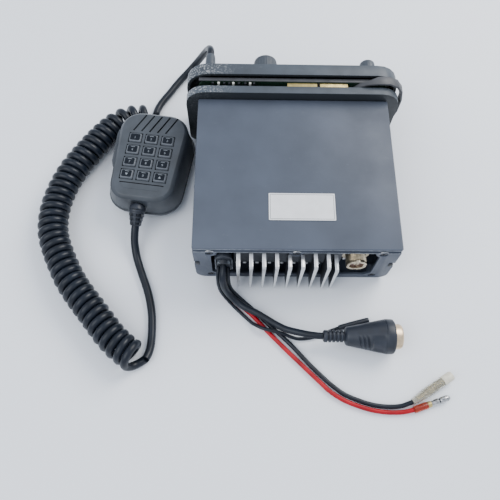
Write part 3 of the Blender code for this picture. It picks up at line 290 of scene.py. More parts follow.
def board_look():
    """Solder-masked laminate with copper runs under the mask."""
    look = Look("board_green", (0.01, 0.05, 0.025), 0.35)
    runs = look.add("ShaderNodeTexBrick")
    runs.inputs["Scale"].default_value = 210.0
    runs.inputs["Mortar Size"].default_value = 0.03
    look.link(look.stretched((1, 1, 1), (math.pi / 2, 0, 0)), runs.inputs["Vector"])
    mask = look.maths("SUBTRACT", 1.0, runs.outputs["Fac"])
    patches = look.noise(60.0, 3.0)
    mask_tone = look.mixed(patches, (0.003, 0.010, 0.006), (0.005, 0.017, 0.010))
    look.feed("Base Color", look.mixed(mask, (0.012, 0.036, 0.020), mask_tone))
    look.feed("Roughness", look.ranged(patches, 0.3, 0.7, 0.28, 0.42))
    look.bumped(mask, 0.3, 0.00005)
    return look


def rubber_look(name, colour, roughness=0.42, bump=0.12, shine=0.4):
    """Soft black or coloured skin of cords, boots and grips."""
    return surface(name, colour, roughness, spread=0.3, patch=90.0, grain=1800.0, bump=bump,
                   depth=0.00008, scuffs=0.06, scuff_colour=(0.18, 0.18, 0.19), shine=shine)


def clear_look(name, colour, roughness, cloud):
    """Clear or tinted plastic with faint cloudiness."""
    look = Look(name, colour, roughness)
    look.set("Transmission Weight", 0.85)
    look.set("IOR", 1.46)
    patches = look.noise(260.0, 4.0)
    look.feed("Base Color", look.mixed(look.ranged(patches, 0.35, 0.65, 0.0, cloud), colour,
                                       times(colour, 0.75)))
    look.feed("Roughness", look.ranged(patches, 0.3, 0.7, roughness - 0.05, roughness + 0.08))
    look.bumped(look.noise(700.0, 2.0), 0.1, 0.0001)
    return look


def lcd_look():
    """Grey-green display glass with a faint cell grid."""
    look = Look("lcd_face", (0.20, 0.24, 0.20), 0.25)
    grid = look.add("ShaderNodeTexBrick", offset=0.0)
    grid.inputs["Scale"].default_value = 900.0
    grid.inputs["Mortar Size"].default_value = 0.06
    look.link(look.stretched((1, 1, 1), (math.pi / 2, 0, 0)), grid.inputs["Vector"])
    look.feed("Base Color", look.mixed(grid.outputs["Fac"], (0.22, 0.27, 0.22), (0.17, 0.21, 0.17)))
    look.feed("Roughness", look.ranged(look.noise(40.0), 0.3, 0.7, 0.2, 0.3))
    return look


def plain(name, *values, **more):
    """One surface, listed under its own name."""
    return {name: surface(name, *values, **more)}


def make_looks():
    looks = {
        "case_paint": case_paint_look(),
        "panel_plastic": panel_look(),
        "cast_aluminium": sink_look(),
        **plain("screw_steel", (0.035, 0.035, 0.04), 0.35, 0.9, patch=300.0),
        **plain("socket_metal", (0.62, 0.53, 0.38), 0.33, 1.0, patch=350.0,
                                grain=1400.0),
        **plain("brown_resin", (0.075, 0.022, 0.014), 0.4, patch=300.0),
        "black_rubber": rubber_look("black_rubber", (0.017, 0.021, 0.030)),
        "seal_rubber": rubber_look("seal_rubber", (0.050, 0.051, 0.056), 0.5),
        "board_green": board_look(),
        **plain("gold_pad", (0.46, 0.36, 0.14), 0.4, 0.6, patch=220.0, spread=0.35),
        **plain("display_plastic", (0.5, 0.5, 0.46), 0.5, patch=120.0),
        "clear_window": clear_look("clear_window", (0.75, 0.80, 0.80), 0.08, 0.3),
        **plain("part_steel", (0.55, 0.55, 0.56), 0.32, 0.95, patch=240.0),
        **plain("mic_plastic", (0.044, 0.051, 0.060), 0.36, spread=0.25,
                               patch=60.0, grain=2800.0, bump=0.22, scuffs=0.12,
                               scuff_colour=(0.22, 0.23, 0.25)),
        **plain("key_plastic", (0.095, 0.105, 0.120), 0.38, patch=260.0,
                               bump=0.15),
        **plain("label_white", (0.72, 0.73, 0.74), 0.42, spread=0.05,
                               patch=120.0, bump=0.05),
        "cord_black": rubber_look("cord_black", (0.006, 0.009, 0.015), 0.36, shine=0.3),
        "lead_red": rubber_look("lead_red", (0.35, 0.002, 0.010), 0.40, shine=0.25),
        **plain("plug_metal", (0.70, 0.54, 0.36), 0.36, 1.0, patch=260.0),
        **plain("pin_steel", (0.46, 0.46, 0.46), 0.30, 1.0, patch=420.0, spread=0.4),
        "clear_sleeve": clear_look("clear_sleeve", (0.86, 0.84, 0.74), 0.22, 0.6),
        "red_sleeve": clear_look("red_sleeve", (0.80, 0.10, 0.03), 0.25, 0.5),
        **plain("print_white", (0.62, 0.63, 0.64), 0.5, patch=600.0,
                               spread=0.15, bump=0.05),
        **plain("key_inset", (0.008, 0.011, 0.016), 0.6, patch=400.0, bump=0.08,
                             shine=0.12),
        **plain("print_grey", (0.20, 0.22, 0.24), 0.5, patch=600.0, spread=0.15,
                              bump=0.05),
        **plain("print_dark", (0.012, 0.014, 0.017), 0.4, patch=400.0,
                              bump=0.08, shine=0.25),
        # near-black: painted shade where it fills slits, slots and gaps
        **plain("dark_gap", (0.004, 0.004, 0.005), 0.7, patch=200.0, shine=0.05),
        # painted highlight: a pale grey for strips that stand for light caught on edges
        **plain("painted_edge_highlight", (0.22, 0.24, 0.27), 0.4, 0.2, patch=400.0,
                             spread=0.5),
        **plain("silver", (0.70, 0.70, 0.70), 0.28, 0.95, patch=500.0, spread=0.3),
        **plain("cream", (0.66, 0.62, 0.50), 0.45, patch=400.0, spread=0.12),
        **plain("knob_plastic", (0.040, 0.049, 0.061), 0.5, patch=120.0,
                                bump=0.25),
        "lcd_face": lcd_look(),
    }
    return {name: look.mat for name, look in looks.items()}


# ================================================================ mesh tools
def grid_plane(size, z):
    return [(-size, -size, z), (size, -size, z), (size, size, z), (-size, size, z)], [(0, 1, 2, 3)]


def mesh_piece(name, points, faces, smooth=None):
    """A new mesh object in the model's frame, its faces turned outwards."""
    mesh = bpy.data.meshes.new(name)
    mesh.from_pydata([tuple(p) for p in points], [], faces)
    bm = bmesh.new()
    bm.from_mesh(mesh)
    bmesh.ops.recalc_face_normals(bm, faces=bm.faces)
    bm.to_mesh(mesh)
    bm.free()
    if smooth is not None:
        mesh.shade_smooth()
        mesh.set_sharp_from_angle(angle=math.radians(smooth))
    obj = bpy.data.objects.new(name, mesh)
    bpy.context.scene.collection.objects.link(obj)
    return obj


def dressed(obj, look, body="unit", slot=None, replaces=()):
    """Gives a new piece its material, its body and the solids that it stands for."""
    obj.data.materials.clear()
    obj.data.materials.append(LOOKS[look])
    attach(obj, body)
    if replaces:
        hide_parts(*replaces)
    return obj


def lofted(name, rings, smooth=30, loop=False):
    """Joins rings of equally many points; the ends are capped unless it is a loop."""
    n = len(rings[0])
    faces = []
    last = len(rings) if loop else len(rings) - 1
    for i in range(last):
        a, b = i * n, (i + 1) % len(rings) * n
        faces += [(a + k, a + (k + 1) % n, b + (k + 1) % n, b + k) for k in range(n)]
    if not loop:
        faces.append(tuple(range(n)))
        faces.append(tuple(range((len(rings) - 1) * n, len(rings) * n)))
    return mesh_piece(name, [p for ring in rings for p in ring], faces, smooth)


def rounded_box(name, low, high, edge, matrix=None, steps=3):
    """A box with rounded edges; edge is its radius."""
    bm = bmesh.new()
    bmesh.ops.create_cube(bm, size=1.0)
    low, high = Vector(low), Vector(high)
    for v in bm.verts:
        v.co = Vector(low[i] + (v.co[i] + 0.5) * (high[i] - low[i]) for i in range(3))
    bmesh.ops.bevel(bm, geom=list(bm.edges), offset=edge, segments=steps, profile=0.5, affect="EDGES")
    if matrix:
        bm.transform(matrix)
    points = [v.co.copy() for v in bm.verts]
    faces = [[v.index for v in f.verts] for f in bm.faces]
    bm.free()
    return mesh_piece(name, points, faces, 40)


def block(name, low, high, edge, look, matrix=None, **more):
    """A rounded box with its material; more is what dressed takes."""
    return dressed(rounded_box(name, low, high, edge, matrix), look, **more)


def mm(*pairs):
    """Pairs of metres from pairs of millimetres."""
    return [(round(a / 1000, 7), round(b / 1000, 7)) for a, b in pairs]


def axis_frame(at, direction, up=(0, 0, 1)):
    """Local Z along direction, local Y near up."""
    z = Vector(direction).normalized()
    x = Vector(up).cross(z).normalized()
    y = z.cross(x)
    turn = Matrix((x, y, z)).transposed().to_4x4()
    return Matrix.Translation(at) @ turn


def turned(name, profile, at, direction, sides=48, ripple=None, smooth=32):
    """A turned form from (radius, along) pairs; ripple(angle, along) scales its radius."""
    matrix = axis_frame(at, direction)
    rings = []
    for radius, along in profile:
        ring = []
        for k in range(sides):
            a = math.tau * k / sides
            r = max(radius, 1e-5) * (ripple(a, along) if ripple else 1.0)
            ring.append(matrix @ Vector((r * math.cos(a), r * math.sin(a), along)))
        rings.append(ring)
    return lofted(name, rings, smooth)


def turned_ring(name, profile, at, direction, sides):
    """A turned closed ring: the profile's last point joins its first."""
    matrix = axis_frame(at, direction)
    rings = []
    for radius, along in profile:
        rings.append([matrix @ Vector((radius * math.cos(math.tau * k / sides),
                                       radius * math.sin(math.tau * k / sides),
                                       along)) for k in range(sides)])
    return lofted(name, rings, 40, loop=True)


def rounded_corners(corners, radius, steps=6):
    """A flat outline through corners, each one rounded."""
    out = []
    for i, corner in enumerate(corners):
        c = Vector(corner)
        a = (Vector(corners[i - 1]) - c).normalized()
        b = (Vector(corners[(i + 1) % len(corners)]) - c).normalized()
        r = radius[i] if isinstance(radius, (list, tuple)) else radius
        half = a.angle(b) / 2
        middle = c + (a + b).normalized() * (r / math.sin(half))
        start = c + a * (r / math.tan(half)) - middle
        end = c + b * (r / math.tan(half)) - middle
        sweep = start.angle_signed(end)
        for k in range(steps + 1):
            turn = Matrix.Rotation(-sweep * k / steps, 2)
            out.append(middle + turn @ start)
    return out


def tangents(path):
    ends = [path[0]] + list(path) + [path[-1]]
    return [(b - a).normalized() for a, b in zip(ends, ends[2:])]


def tube_mesh(name, path, radius, sides=12, caps=True, relief=None):
    """A tube along a path whose rings turn as little as they can."""
    path = [Vector(p) for p in path]
    along = tangents(path)
    side = along[0].orthogonal().normalized()
    points = []
    for i, (p, t) in enumerate(zip(path, along)):
        side = (side - t * side.dot(t)).normalized()
        other = t.cross(side)
        r = radius(i) if callable(radius) else radius
        for k in range(sides):
            a = math.tau * k / sides
            s = r * (relief(i, a) if relief else 1.0)
            points.append(p + (side * math.cos(a) + other * math.sin(a)) * s)
    faces = []
    for i in range(len(path) - 1):
        for k in range(sides):
            j = (k + 1) % sides
            faces.append((i * sides + k, i * sides + j, (i + 1) * sides + j, (i + 1) * sides + k))
    if caps:
        faces.append(tuple(range(sides)))
        faces.append(tuple(range((len(path) - 1) * sides, len(path) * sides)))
    return mesh_piece(name, points, faces, 60)


def curve_through(points, step):
    """Points about a step apart on the smooth curve through the given ones."""
    route = [Vector(p) for p in points]
    route = [2 * route[0] - route[1]] + route + [2 * route[-1] - route[-2]]
    fine = []
    for a, b, c, d in zip(route, route[1:], route[2:], route[3:]):
        knots = [0.0]
        for p, q in ((a, b), (b, c), (c, d)):
            knots.append(knots[-1] + math.sqrt((q - p).length))
        for k in range(12):
            t = knots[1] + (knots[2] - knots[1]) * k / 12
            ab = a.lerp(b, (t - knots[0]) / (knots[1] - knots[0]))
            bc = b.lerp(c, (t - knots[1]) / (knots[2] - knots[1]))
            cd = c.lerp(d, (t - knots[2]) / (knots[3] - knots[2]))
            abc = ab.lerp(bc, (t - knots[0]) / (knots[2] - knots[0]))
            bcd = bc.lerp(cd, (t - knots[1]) / (knots[3] - knots[1]))
            fine.append(abc.lerp(bcd, (t - knots[1]) / (knots[2] - knots[1])))
    fine.append(route[-2])
    return evenly(fine, max(2, round(path_length(fine) / step)))


def path_length(path):
    return sum((b - a).length for a, b in zip(path, path[1:]))


def evenly(fine, count):
    """The same line cut into count equal steps."""
    run = [0.0]
    for a, b in zip(fine, fine[1:]):
        run.append(run[-1] + (b - a).length)
    out, i = [], 0
    for k in range(count + 1):
        want = run[-1] * k / count
        while i < len(fine) - 2 and run[i + 1] < want:
            i += 1
        out.append(fine[i].lerp(fine[i + 1], (want - run[i]) / max(run[i + 1] - run[i], 1e-12)))
    return out


def soften(node, width, angle=30):
    """Rounds and smooths a carried-over solid's edges with modifiers alone."""
    obj = NODES[node]
    weld = obj.modifiers.new("weld", "WELD")
    weld.merge_threshold = 1e-6
    if width:
        edge = obj.modifiers.new("edge", "BEVEL")
        edge.width = width
        edge.segments = 2
        edge.limit_method = "ANGLE"
        edge.angle_limit = math.radians(angle)
    smooth = obj.modifiers.new("smooth", "NODES")
    smooth.node_group = SMOOTHER


def make_smoother():
    """Geometry nodes that smooth every face but keep the sharper edges sharp."""
    group = bpy.data.node_groups.new("smooth_by_angle", "GeometryNodeTree")
    group.interface.new_socket("Geometry", in_out="INPUT", socket_type="NodeSocketGeometry")
    group.interface.new_socket("Geometry", in_out="OUTPUT", socket_type="NodeSocketGeometry")
    start = group.nodes.new("NodeGroupInput")
    end = group.nodes.new("NodeGroupOutput")
    angle = group.nodes.new("GeometryNodeInputMeshEdgeAngle")
    below = group.nodes.new("FunctionNodeCompare")
    below.operation = "LESS_EQUAL"
    below.inputs[1].default_value = math.radians(SHARP_ANGLE)
    edges = group.nodes.new("GeometryNodeSetShadeSmooth")
    edges.domain = "EDGE"
    faces = group.nodes.new("GeometryNodeSetShadeSmooth")
    group.links.new(angle.outputs["Unsigned Angle"], below.inputs[0])
    group.links.new(start.outputs[0], faces.inputs["Geometry"])
    group.links.new(faces.outputs[0], edges.inputs["Geometry"])
    group.links.new(below.outputs[0], edges.inputs["Shade Smooth"])
    group.links.new(edges.outputs[0], end.inputs[0])
    return group


# ================================================================ leads
def metres(points):
    return [Vector(p) / 1000 for p in points]


MIC_LEAD_R = 0.00325
ACCESSORY_R = 0.0027
POWER_R = 0.00175
THIN_R = 0.0014
COIL_R = 0.0125
COIL_END_R = 0.0100
COIL_TURNS = 39
POINTS_A_TURN = 18
COIL_LOOSE = 0.13               # last share of the coil, where its turns are wider apart
PACE_IN, PACE_LOOSE, PACE_OUT = 0.33, 0.78, 0.30
MIC_CORD_STEP, LEAD_STEP = 0.0022, 0.0018
LOWEST_LEAD = 0.0033            # middle of the microphone lead where it lies flat

RADIO_LEAD = metres([
    (-69.5, 121.2, 47), (-69.6, 125.5, 46.8), (-70.6, 131.5, 43.5), (-73.0, 137.0, 36.5),
    (-76.6, 141.0, 27.5), (-81.5, 143.0, 18.0), (-87.5, 142.0, 9.8), (-93.8, 137.5, 5.0),
    (-99.6, 130.8, 3.5), (-104.9, 122.8, 3.3), (-109.4, 115.0, 3.3), (-114.4, 107.2, 3.3),
    (-118.0, 100.5, 3.3), (-120.0, 95.2, 3.5), (-120.6, 90.8, 4.4)])
COIL_AXIS = metres([
    (-122.0, -135.5, 12.6), (-133.3, -127.0, 12.6), (-143.0, -117.2, 12.6), (-151.4, -106.9, 12.6),
    (-165.5, -89.9, 12.6), (-173.8, -79.2, 12.6), (-180.8, -67.9, 12.6), (-190.1, -49.4, 12.6),
    (-195.0, -36.5, 12.6), (-196.9, -22.0, 12.6), (-196.0, -6.8, 12.6), (-192.0, 9.7, 12.6),
    (-184.9, 27.0, 12.6), (-176.5, 41.0, 12.6), (-168.0, 54.6, 12.6), (-159.8, 66.2, 12.4),
    (-150.8, 75.6, 11.9), (-140.0, 81.4, 11.0), (-127.0, 83.2, 10.3)])
MIC_LEAD = metres([
    (-128.3, -29.0, 15.6), (-128.6, -31.4, 14.4), (-129.0, -35.4, 12.0), (-129.2, -40.2, 8.9),
    (-128.6, -45.6, 6.0), (-127.4, -51.4, 4.1),
    (-125.4, -57.5, 3.3), (-121.8, -67.0, 3.3), (-118.1, -76.2, 3.3), (-115.2, -84.5, 3.3),
    (-113.0, -93.0, 3.3), (-111.5, -101.5, 3.3), (-110.8, -110.0, 3.3), (-110.5, -118.5, 3.3),
    (-110.8, -126.0, 3.4), (-112.0, -132.0, 4.2), (-113.6, -136.2, 5.6)])
ACCESSORY_ROUTE = metres([
    (-54.8, -70.9, 34.6), (-54.8, -73.2, 34.5), (-55.0, -77.0, 33.2), (-55.2, -80.3, 30.2),
    (-54.9, -82.5, 25.6), (-53.8, -83.8, 19.8), (-51.4, -85.6, 13.6), (-47.4, -88.4, 9.0),
    (-42.7, -91.9, 7.0),
    (-37.5, -95.3, 6.8), (-30.0, -98.9, 6.8), (-22.0, -103.6, 6.8), (-14.0, -108.6, 7.2),
    (-6.1, -112.9, 8.6), (1.7, -115.5, 10.6), (9.3, -117.6, 12.4), (16.0, -118.9, 13.5),
    (21.7, -119.5, 13.7)])
RED_ROUTE = metres([
    (-55.4, -70.9, 29.2), (-55.4, -72.4, 29.1), (-55.4, -74.8, 28.0), (-55.4, -77.0, 25.4),
    (-55.2, -78.2, 21.5), (-54.8, -78.6, 17.0), (-54.0, -79.8, 12.0), (-52.2, -82.3, 7.0),
    (-48.6, -86.1, 3.2), (-43.0, -90.8, 1.9),
    (-37.0, -95.8, 1.8), (-31.0, -101.3, 1.8), (-26.0, -106.6, 1.8), (-20.8, -112.3, 1.8),
    (-15.7, -117.6, 1.8), (-9.8, -123.6, 1.8), (-3.8, -129.6, 1.8), (5.0, -138.2, 1.8),
    (12.5, -145.5, 1.8), (19.5, -152.2, 1.8), (26.4, -158.8, 1.8), (36.9, -165.6, 1.8),
    (47.7, -169.9, 1.8), (58.3, -172.9, 1.8), (69.0, -174.3, 1.8), (80.2, -174.2, 2.1),
    (89.0, -172.6, 2.9)])
BLACK_ROUTE = metres([
    (-51.4, -70.9, 31.0), (-51.4, -72.5, 30.9), (-51.4, -75.2, 29.4), (-51.4, -77.4, 26.2),
    (-51.1, -78.8, 21.6), (-50.6, -79.8, 16.5), (-49.1, -81.4, 11.2), (-46.2, -83.5, 6.8),
    (-42.2, -86.4, 3.6), (-37.5, -90.2, 2.1),
    (-33.5, -93.6, 1.8), (-28.5, -98.2, 1.8), (-24.0, -102.6, 1.8), (-19.8, -106.8, 1.8),
    (-15.6, -110.8, 1.8), (-11.0, -115.0, 1.8), (-5.7, -119.9, 1.8), (0.1, -125.8, 1.8),
    (5.9, -132.1, 1.8), (12.8, -139.6, 1.8), (20.2, -146.9, 1.8), (27.6, -153.8, 1.8),
    (37.6, -161.2, 1.8), (48.1, -165.7, 1.8), (58.7, -168.9, 1.8), (69.2, -170.2, 1.9),
    (79.4, -169.8, 2.5), (88.6, -166.9, 4.0)])
THIN_ROUTE = metres([
    (-58.8, -70.9, 32.0), (-58.8, -72.6, 31.9), (-59.0, -75.4, 30.6), (-59.1, -78.3, 27.5),
    (-58.7, -81.4, 21.5),
    (-57.1, -84.2, 15.0), (-54.3, -86.6, 9.0), (-50.3, -89.9, 4.6), (-45.5, -94.2, 2.0),
    (-40.6, -98.7, 1.5), (-36.4, -102.7, 1.5), (-32.2, -106.6, 2.4), (-27.8, -109.6, 4.6),
    (-23.0, -111.9, 5.7), (-17.8, -113.2, 5.8), (-12.6, -114.4, 5.7), (-7.2, -116.0, 5.2),
    (-1.5, -117.8, 3.0), (4.0, -118.9, 1.6), (13.0, -118.2, 1.5), (20.0, -116.2, 1.5),
    (27.0, -113.3, 1.5), (34.0, -110.7, 1.6), (42.0, -108.3, 2.0), (52.0, -105.6, 2.2),
    (60.5, -103.4, 2.2)])


def round_axis(origin, point, along):
    """How far a point is along an axis, and its angle and distance round it."""
    off = point - origin
    reach = off.dot(along)
    side = along.cross(Vector((0, 0, 1))).normalized()
    up = side.cross(along)
    a, b = off.dot(side), off.dot(up)
    return reach, math.atan2(b, a), math.hypot(a, b)


def coil_pace(share, lead_in, lead_out):
    """How fast the coil turns at a share of its length, against its even middle."""
    if share > 1 - lead_out:
        return PACE_OUT
    if share > 1 - COIL_LOOSE:
        return PACE_LOOSE
    return PACE_IN if share < lead_in else 1.0


def coil_path():
    """The curly stretch, from the microphone lead's end to the radio lead's end."""
    axis = curve_through(COIL_AXIS, 0.002)
    start_dir = (axis[1] - axis[0]).normalized()
    end_dir = (axis[-1] - axis[-2]).normalized()
    before, angle0, reach0 = round_axis(axis[0], MIC_LEAD[-1], start_dir)
    after, angle1, reach1 = round_axis(axis[-1], RADIO_LEAD[-1], end_dir)
    axis = [axis[0] + start_dir * before] + axis + [axis[-1] + end_dir * after]
    steps = COIL_TURNS * POINTS_A_TURN
    axis = evenly(axis, steps)
    lead_in = -before / path_length(axis)
    lead_out = after / path_length(axis)
    speed = [coil_pace(i / steps, lead_in, lead_out) for i in range(steps + 1)]
    angle = angle0
    total = -(COIL_TURNS * math.tau) + (angle1 - angle0)
    unit = total / (sum(speed) - speed[0] / 2 - speed[-1] / 2)
    out = []
    along = tangents(axis)
    for i, (p, t) in enumerate(zip(axis, along)):
        if i:
            angle += unit * (speed[i] + speed[i - 1]) / 2
        s = i / steps
        full = COIL_R - MIC_LEAD_R - 0.0001
        shrink = (COIL_R - COIL_END_R) * max(0.0, (s - 0.75) / 0.25)
        reach = full - shrink
        if s < lead_in:
            reach = reach0 + (reach - reach0) * s / lead_in
        if s > 1 - lead_out:
            reach = reach1 + (reach - reach1) * (1 - s) / lead_out
        side = t.cross(Vector((0, 0, 1))).normalized()
        up = side.cross(t)
        point = p + (side * math.cos(angle) + up * math.sin(angle)) * reach
        point.z = max(point.z, LOWEST_LEAD)
        out.append(point)
    return out


def make_mic_cord():
    """The microphone's cord: a lead from the panel and its coil, then the microphone's own lead."""
    coil = coil_path()
    lead = curve_through(RADIO_LEAD, MIC_CORD_STEP)
    path = lead[:-1] + coil[::-1]
    cord = tube_mesh("mic_coiled_cord", path, MIC_LEAD_R, 12)
    dressed(cord, "cord_black", replaces=("mic_cord_radio_lead", "mic_cord_coil"))
    path = curve_through(MIC_LEAD, MIC_CORD_STEP)
    cord = tube_mesh("mic_lead", path, MIC_LEAD_R, 12)
    cord.data.materials.append(LOOKS["cord_black"])
    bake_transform(cord)
    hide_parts("mic_cord_mic_lead")


def make_leads():
    """The accessory cable, the two power leads and the thin lead."""
    plug = make_plug()
    pin = make_bullet_pin()
    socket = make_bullet_socket()
    sleeve = make_thin_sleeve()
    for name, node, points, radius, far_end, pieces, look in (
            ("accessory_cord", "accessory_cable", ACCESSORY_ROUTE, ACCESSORY_R, "plug", plug,
             "cord_black"),
            ("red_cord", "power_lead_red", RED_ROUTE, POWER_R, "connector", pin, "lead_red"),
            ("black_cord", "power_lead_black", BLACK_ROUTE, POWER_R, "connector", socket,
             "cord_black"),
            ("thin_cord", "thin_lead", THIN_ROUTE, THIN_R, "connector", sleeve, "cord_black")):
        path = curve_through(points, LEAD_STEP)
        cord = tube_mesh(name, path, radius, 12)
        dressed(cord, look, replaces=(node,))


# ================================================================ plugs on the leads
PLUG_START = 0.0220
PLUG_Y, PLUG_Z, PLUG_R = -0.1195, 0.0137, 0.0134
RING_R = 0.0096
THUMB_ANGLE = math.radians(140)
PIN_AIM = (0.1172, -0.1632, 0.0033)
SOCKET_AIM = (0.1204, -0.1470, 0.0042)


def grip_profile():
    """The tapered grip in half-millimetre steps, so that its relief has enough rings."""
    steps = mm((18, 7.2), (24, 8.4), (31, 9.9), (36.3, 11), (40.8, 12), (44.3, 12.7), (45.7, 13))
    out = []
    for (y0, r0), (y1, r1) in zip(steps, steps[1:]):
        count = round((y1 - y0) / 0.0005)
        out += [(r0 + (r1 - r0) * k / count, y0 + (y1 - y0) * k / count) for k in range(count)]
    return out


def grip_relief(angle, along):
    """Thumb hollow on the upper side towards -Y, and three slanted ridges before it."""
    off = angle - THUMB_ANGLE
    facing = math.exp(-(off / 0.62) ** 6)
    hollow = math.exp(-((along - 0.0408) / 0.0044) ** 6)
    ridges = 0.0
    for i in range(3):
        middle = 0.0276 + 0.0031 * i + 0.0022 * off
        ridges += math.exp(-((along - middle) / 0.0007) ** 4)
    return 1.0 - 0.13 * hollow * facing - 0.10 * ridges * facing


def make_plug():
    """Ribbed relief, tapered grip with a thumb hollow, and a plated ring with its contacts."""
    profile = mm((0, 0), (4, 0), (4.6, 0.6))
    for i in range(5):
        x = 0.0012 + i * 0.0030
        profile += [(0.0047, x), (0.0047, x + 0.0015), (0.0042, x + 0.0018), (0.0036, x + 0.0021),
                    (0.0036, x + 0.0027), (0.0042, x + 0.0029)]
    profile += [(0.0049, 0.0164), (0.0066, 0.0171)] + grip_profile()
    profile += mm((13.1, 46.2), (12.9, 46.5), (13.3, 47), (13.4, 47.7), (13.4, 51.7), (13.1, 52.9),
                  (12.4, 53.5), (10.2, 53.7), (10, 53.3), (9.9, 44.7), (0, 44.7))
    at = (PLUG_START, PLUG_Y, PLUG_Z)
    body = turned("plug_grip", profile, at, (1, 0, 0), 128, grip_relief, 40)
    dressed(body, "black_rubber", replaces=("accessory_plug",))
    ring = [(0.0, 0.0449), (RING_R, 0.0449), (RING_R, 0.0580), (RING_R - 0.0004, 0.0590),
            (RING_R - 0.0009, 0.0596), (RING_R - 0.0013, 0.0598), (RING_R - 0.0015, 0.0595),
            (RING_R - 0.0015, 0.0472), (0.0, 0.0472)]
    ring = turned("plug_ring", ring, at, (1, 0, 0), 64)
    dressed(ring, "plug_metal", replaces=("accessory_plug_shell",))
    pieces = [body, ring]
    core = mm((0, 47.3), (7, 47.3), (7, 51.5), (6.6, 51.9), (0, 51.9))
    core = turned("plug_core", core, at, (1, 0, 0), 40)
    pieces.append(dressed(core, "print_dark"))
    for i in range(7):
        a = math.tau * i / 7
        out = 0.0043 if i else 0.0
        spot = (PLUG_START + 0.0519, PLUG_Y + out * math.cos(a), PLUG_Z + out * math.sin(a))
        pin = mm((0, -1), (0.7, -1), (0.7, 5.6), (0.4, 6.2), (0, 6.3))
        pin = turned(f"plug_contact_{i + 1}", pin, spot, (1, 0, 0), 12)
        pieces.append(dressed(pin, "socket_metal"))
    return pieces


def make_bullet_pin():
    at = RED_ROUTE[-1]
    aim = Vector(PIN_AIM) - at
    pin = mm((0, 3), (1.4, 3.2), (1.9, 10), (1.9, 16.8), (2.3, 17.5), (2.3, 20), (1.9, 20.6),
             (1.6, 20.9), (1.6, 21.4), (2.1, 21.9), (2.3, 22.3), (2.3, 27.2), (1.9, 28.6), (1.1, 29.5),
             (0, 29.7))
    pin = turned("bullet_tip", pin, at, aim, 32)
    dressed(pin, "pin_steel", replaces=("bullet_pin",))
    sleeve = mm((1.8, 0), (2.6, 0.2), (2.7, 2), (2.6, 6), (2.7, 10), (2.5, 11.1), (2.1, 11.2),
                (2, 10.4), (1.9, 1))
    sleeve = turned_ring("bullet_tip_sleeve", sleeve, at, aim, 32)
    dressed(sleeve, "red_sleeve", slot="pin_steel")
    crimp = turned_ring("bullet_tip_crimp", mm((1.7, 11.3), (2.3, 11.4), (2.4, 12.8), (2.2, 14.2),
                                               (1.7, 14.3)), at, aim, 24)
    dressed(crimp, "gold_pad", slot="pin_steel")
    waist = turned_ring("bullet_tip_waist", mm((1.5, 20.7), (1.75, 20.8), (1.75, 21.7), (1.5, 21.8)),
                        at, aim, 24)
    dressed(waist, "print_dark", slot="pin_steel")
    frame_at = axis_frame(at, aim)
    # painted shade: a near-black sheet across the tip stands for the shade in its slit
    slit = block("bullet_tip_slit", (-0.00018, -0.00235, 0.0228), (0.00018, 0.00235, 0.0283), 0.00008,
                 "dark_gap", frame_at, slot="pin_steel")
    return [pin, sleeve, crimp, waist, slit]


def make_bullet_socket():
    at = BLACK_ROUTE[-1]
    aim = Vector(SOCKET_AIM) - at
    sleeve = mm((1.8, 0), (2.3, 0), (2.6, 2), (3, 5.5), (3.5, 10.5), (3.7, 13.5), (3.7, 28.2),
                (3, 28.3), (3, 14), (2.4, 8), (1.9, 2))
    sleeve = turned_ring("bullet_sleeve", sleeve, at, aim, 40)
    dressed(sleeve, "clear_sleeve", replaces=("bullet_socket",))
    core = mm((0, 4), (1.6, 4.2), (1.7, 11), (2.4, 12.5), (2.8, 15), (2.8, 30), (2.4, 31), (0, 31.2))
    core = turned("bullet_core", core, at, aim, 32)
    dressed(core, "gold_pad", slot="socket_metal")
    cap = mm((1.8, 31.3), (2.9, 31.2), (2.9, 28.7), (3.6, 28.5), (3.7, 28.9), (3.7, 36.6), (3.4, 37.4),
             (2.6, 37.6), (2, 37.5), (1.8, 37))
    cap = turned_ring("bullet_cap", cap, at, aim, 32)
    dressed(cap, "cream", slot="clear_sleeve")
    return [sleeve, core, cap]


def make_thin_sleeve():
    """Black shrink sleeve over the thin lead's last stretch."""
    path = curve_through(THIN_ROUTE, 0.001)[-26:]
    sleeve = tube_mesh("thin_sleeve", path, lambda i: 0.0022 if 0 < i < 25 else 0.0019, 20)
    return [dressed(sleeve, "black_rubber", slot="cord_black")]


# ================================================================ rear of the set
def text_piece(name, words, size, matrix, look, body, slot=None, depth=0.00004):
    """Generic figures as a thin raised print."""
    curve = bpy.data.curves.new(name, "FONT")
    curve.body = words
    curve.size = size
    curve.extrude = depth
    curve.align_x = "CENTER"
    curve.align_y = "CENTER"
    curve.resolution_u = 3
    holder = bpy.data.objects.new(name + "_text", curve)
    bpy.context.scene.collection.objects.link(holder)
    bpy.context.view_layer.update()
    deps = bpy.context.evaluated_depsgraph_get()
    mesh = bpy.data.meshes.new_from_object(holder.evaluated_get(deps))
    bpy.data.objects.remove(holder)
    mesh.transform(matrix)
    mesh.name = name
    obj = bpy.data.objects.new(name, mesh)
    bpy.context.scene.collection.objects.link(obj)
    return dressed(obj, look, body, slot)


def flat_plate(name, outline, low, high, matrix, smooth=30, edge=0.0):
    """A flat outline with thickness, its top edge eased by edge."""
    middle = sum(outline, Vector((0, 0))) / len(outline)
    rings = [[matrix @ Vector((p.x, p.y, low)) for p in outline]]
    if edge:
        rings.append([matrix @ Vector((p.x, p.y, high - edge)) for p in outline])
        inner = []
        for p in outline:
            q = p - (p - middle).normalized() * edge
            inner.append(matrix @ Vector((q.x, q.y, high)))
        rings.append(inner)
    else:
        rings.append([matrix @ Vector((p.x, p.y, high)) for p in outline])
    return lofted(name, rings, smooth)


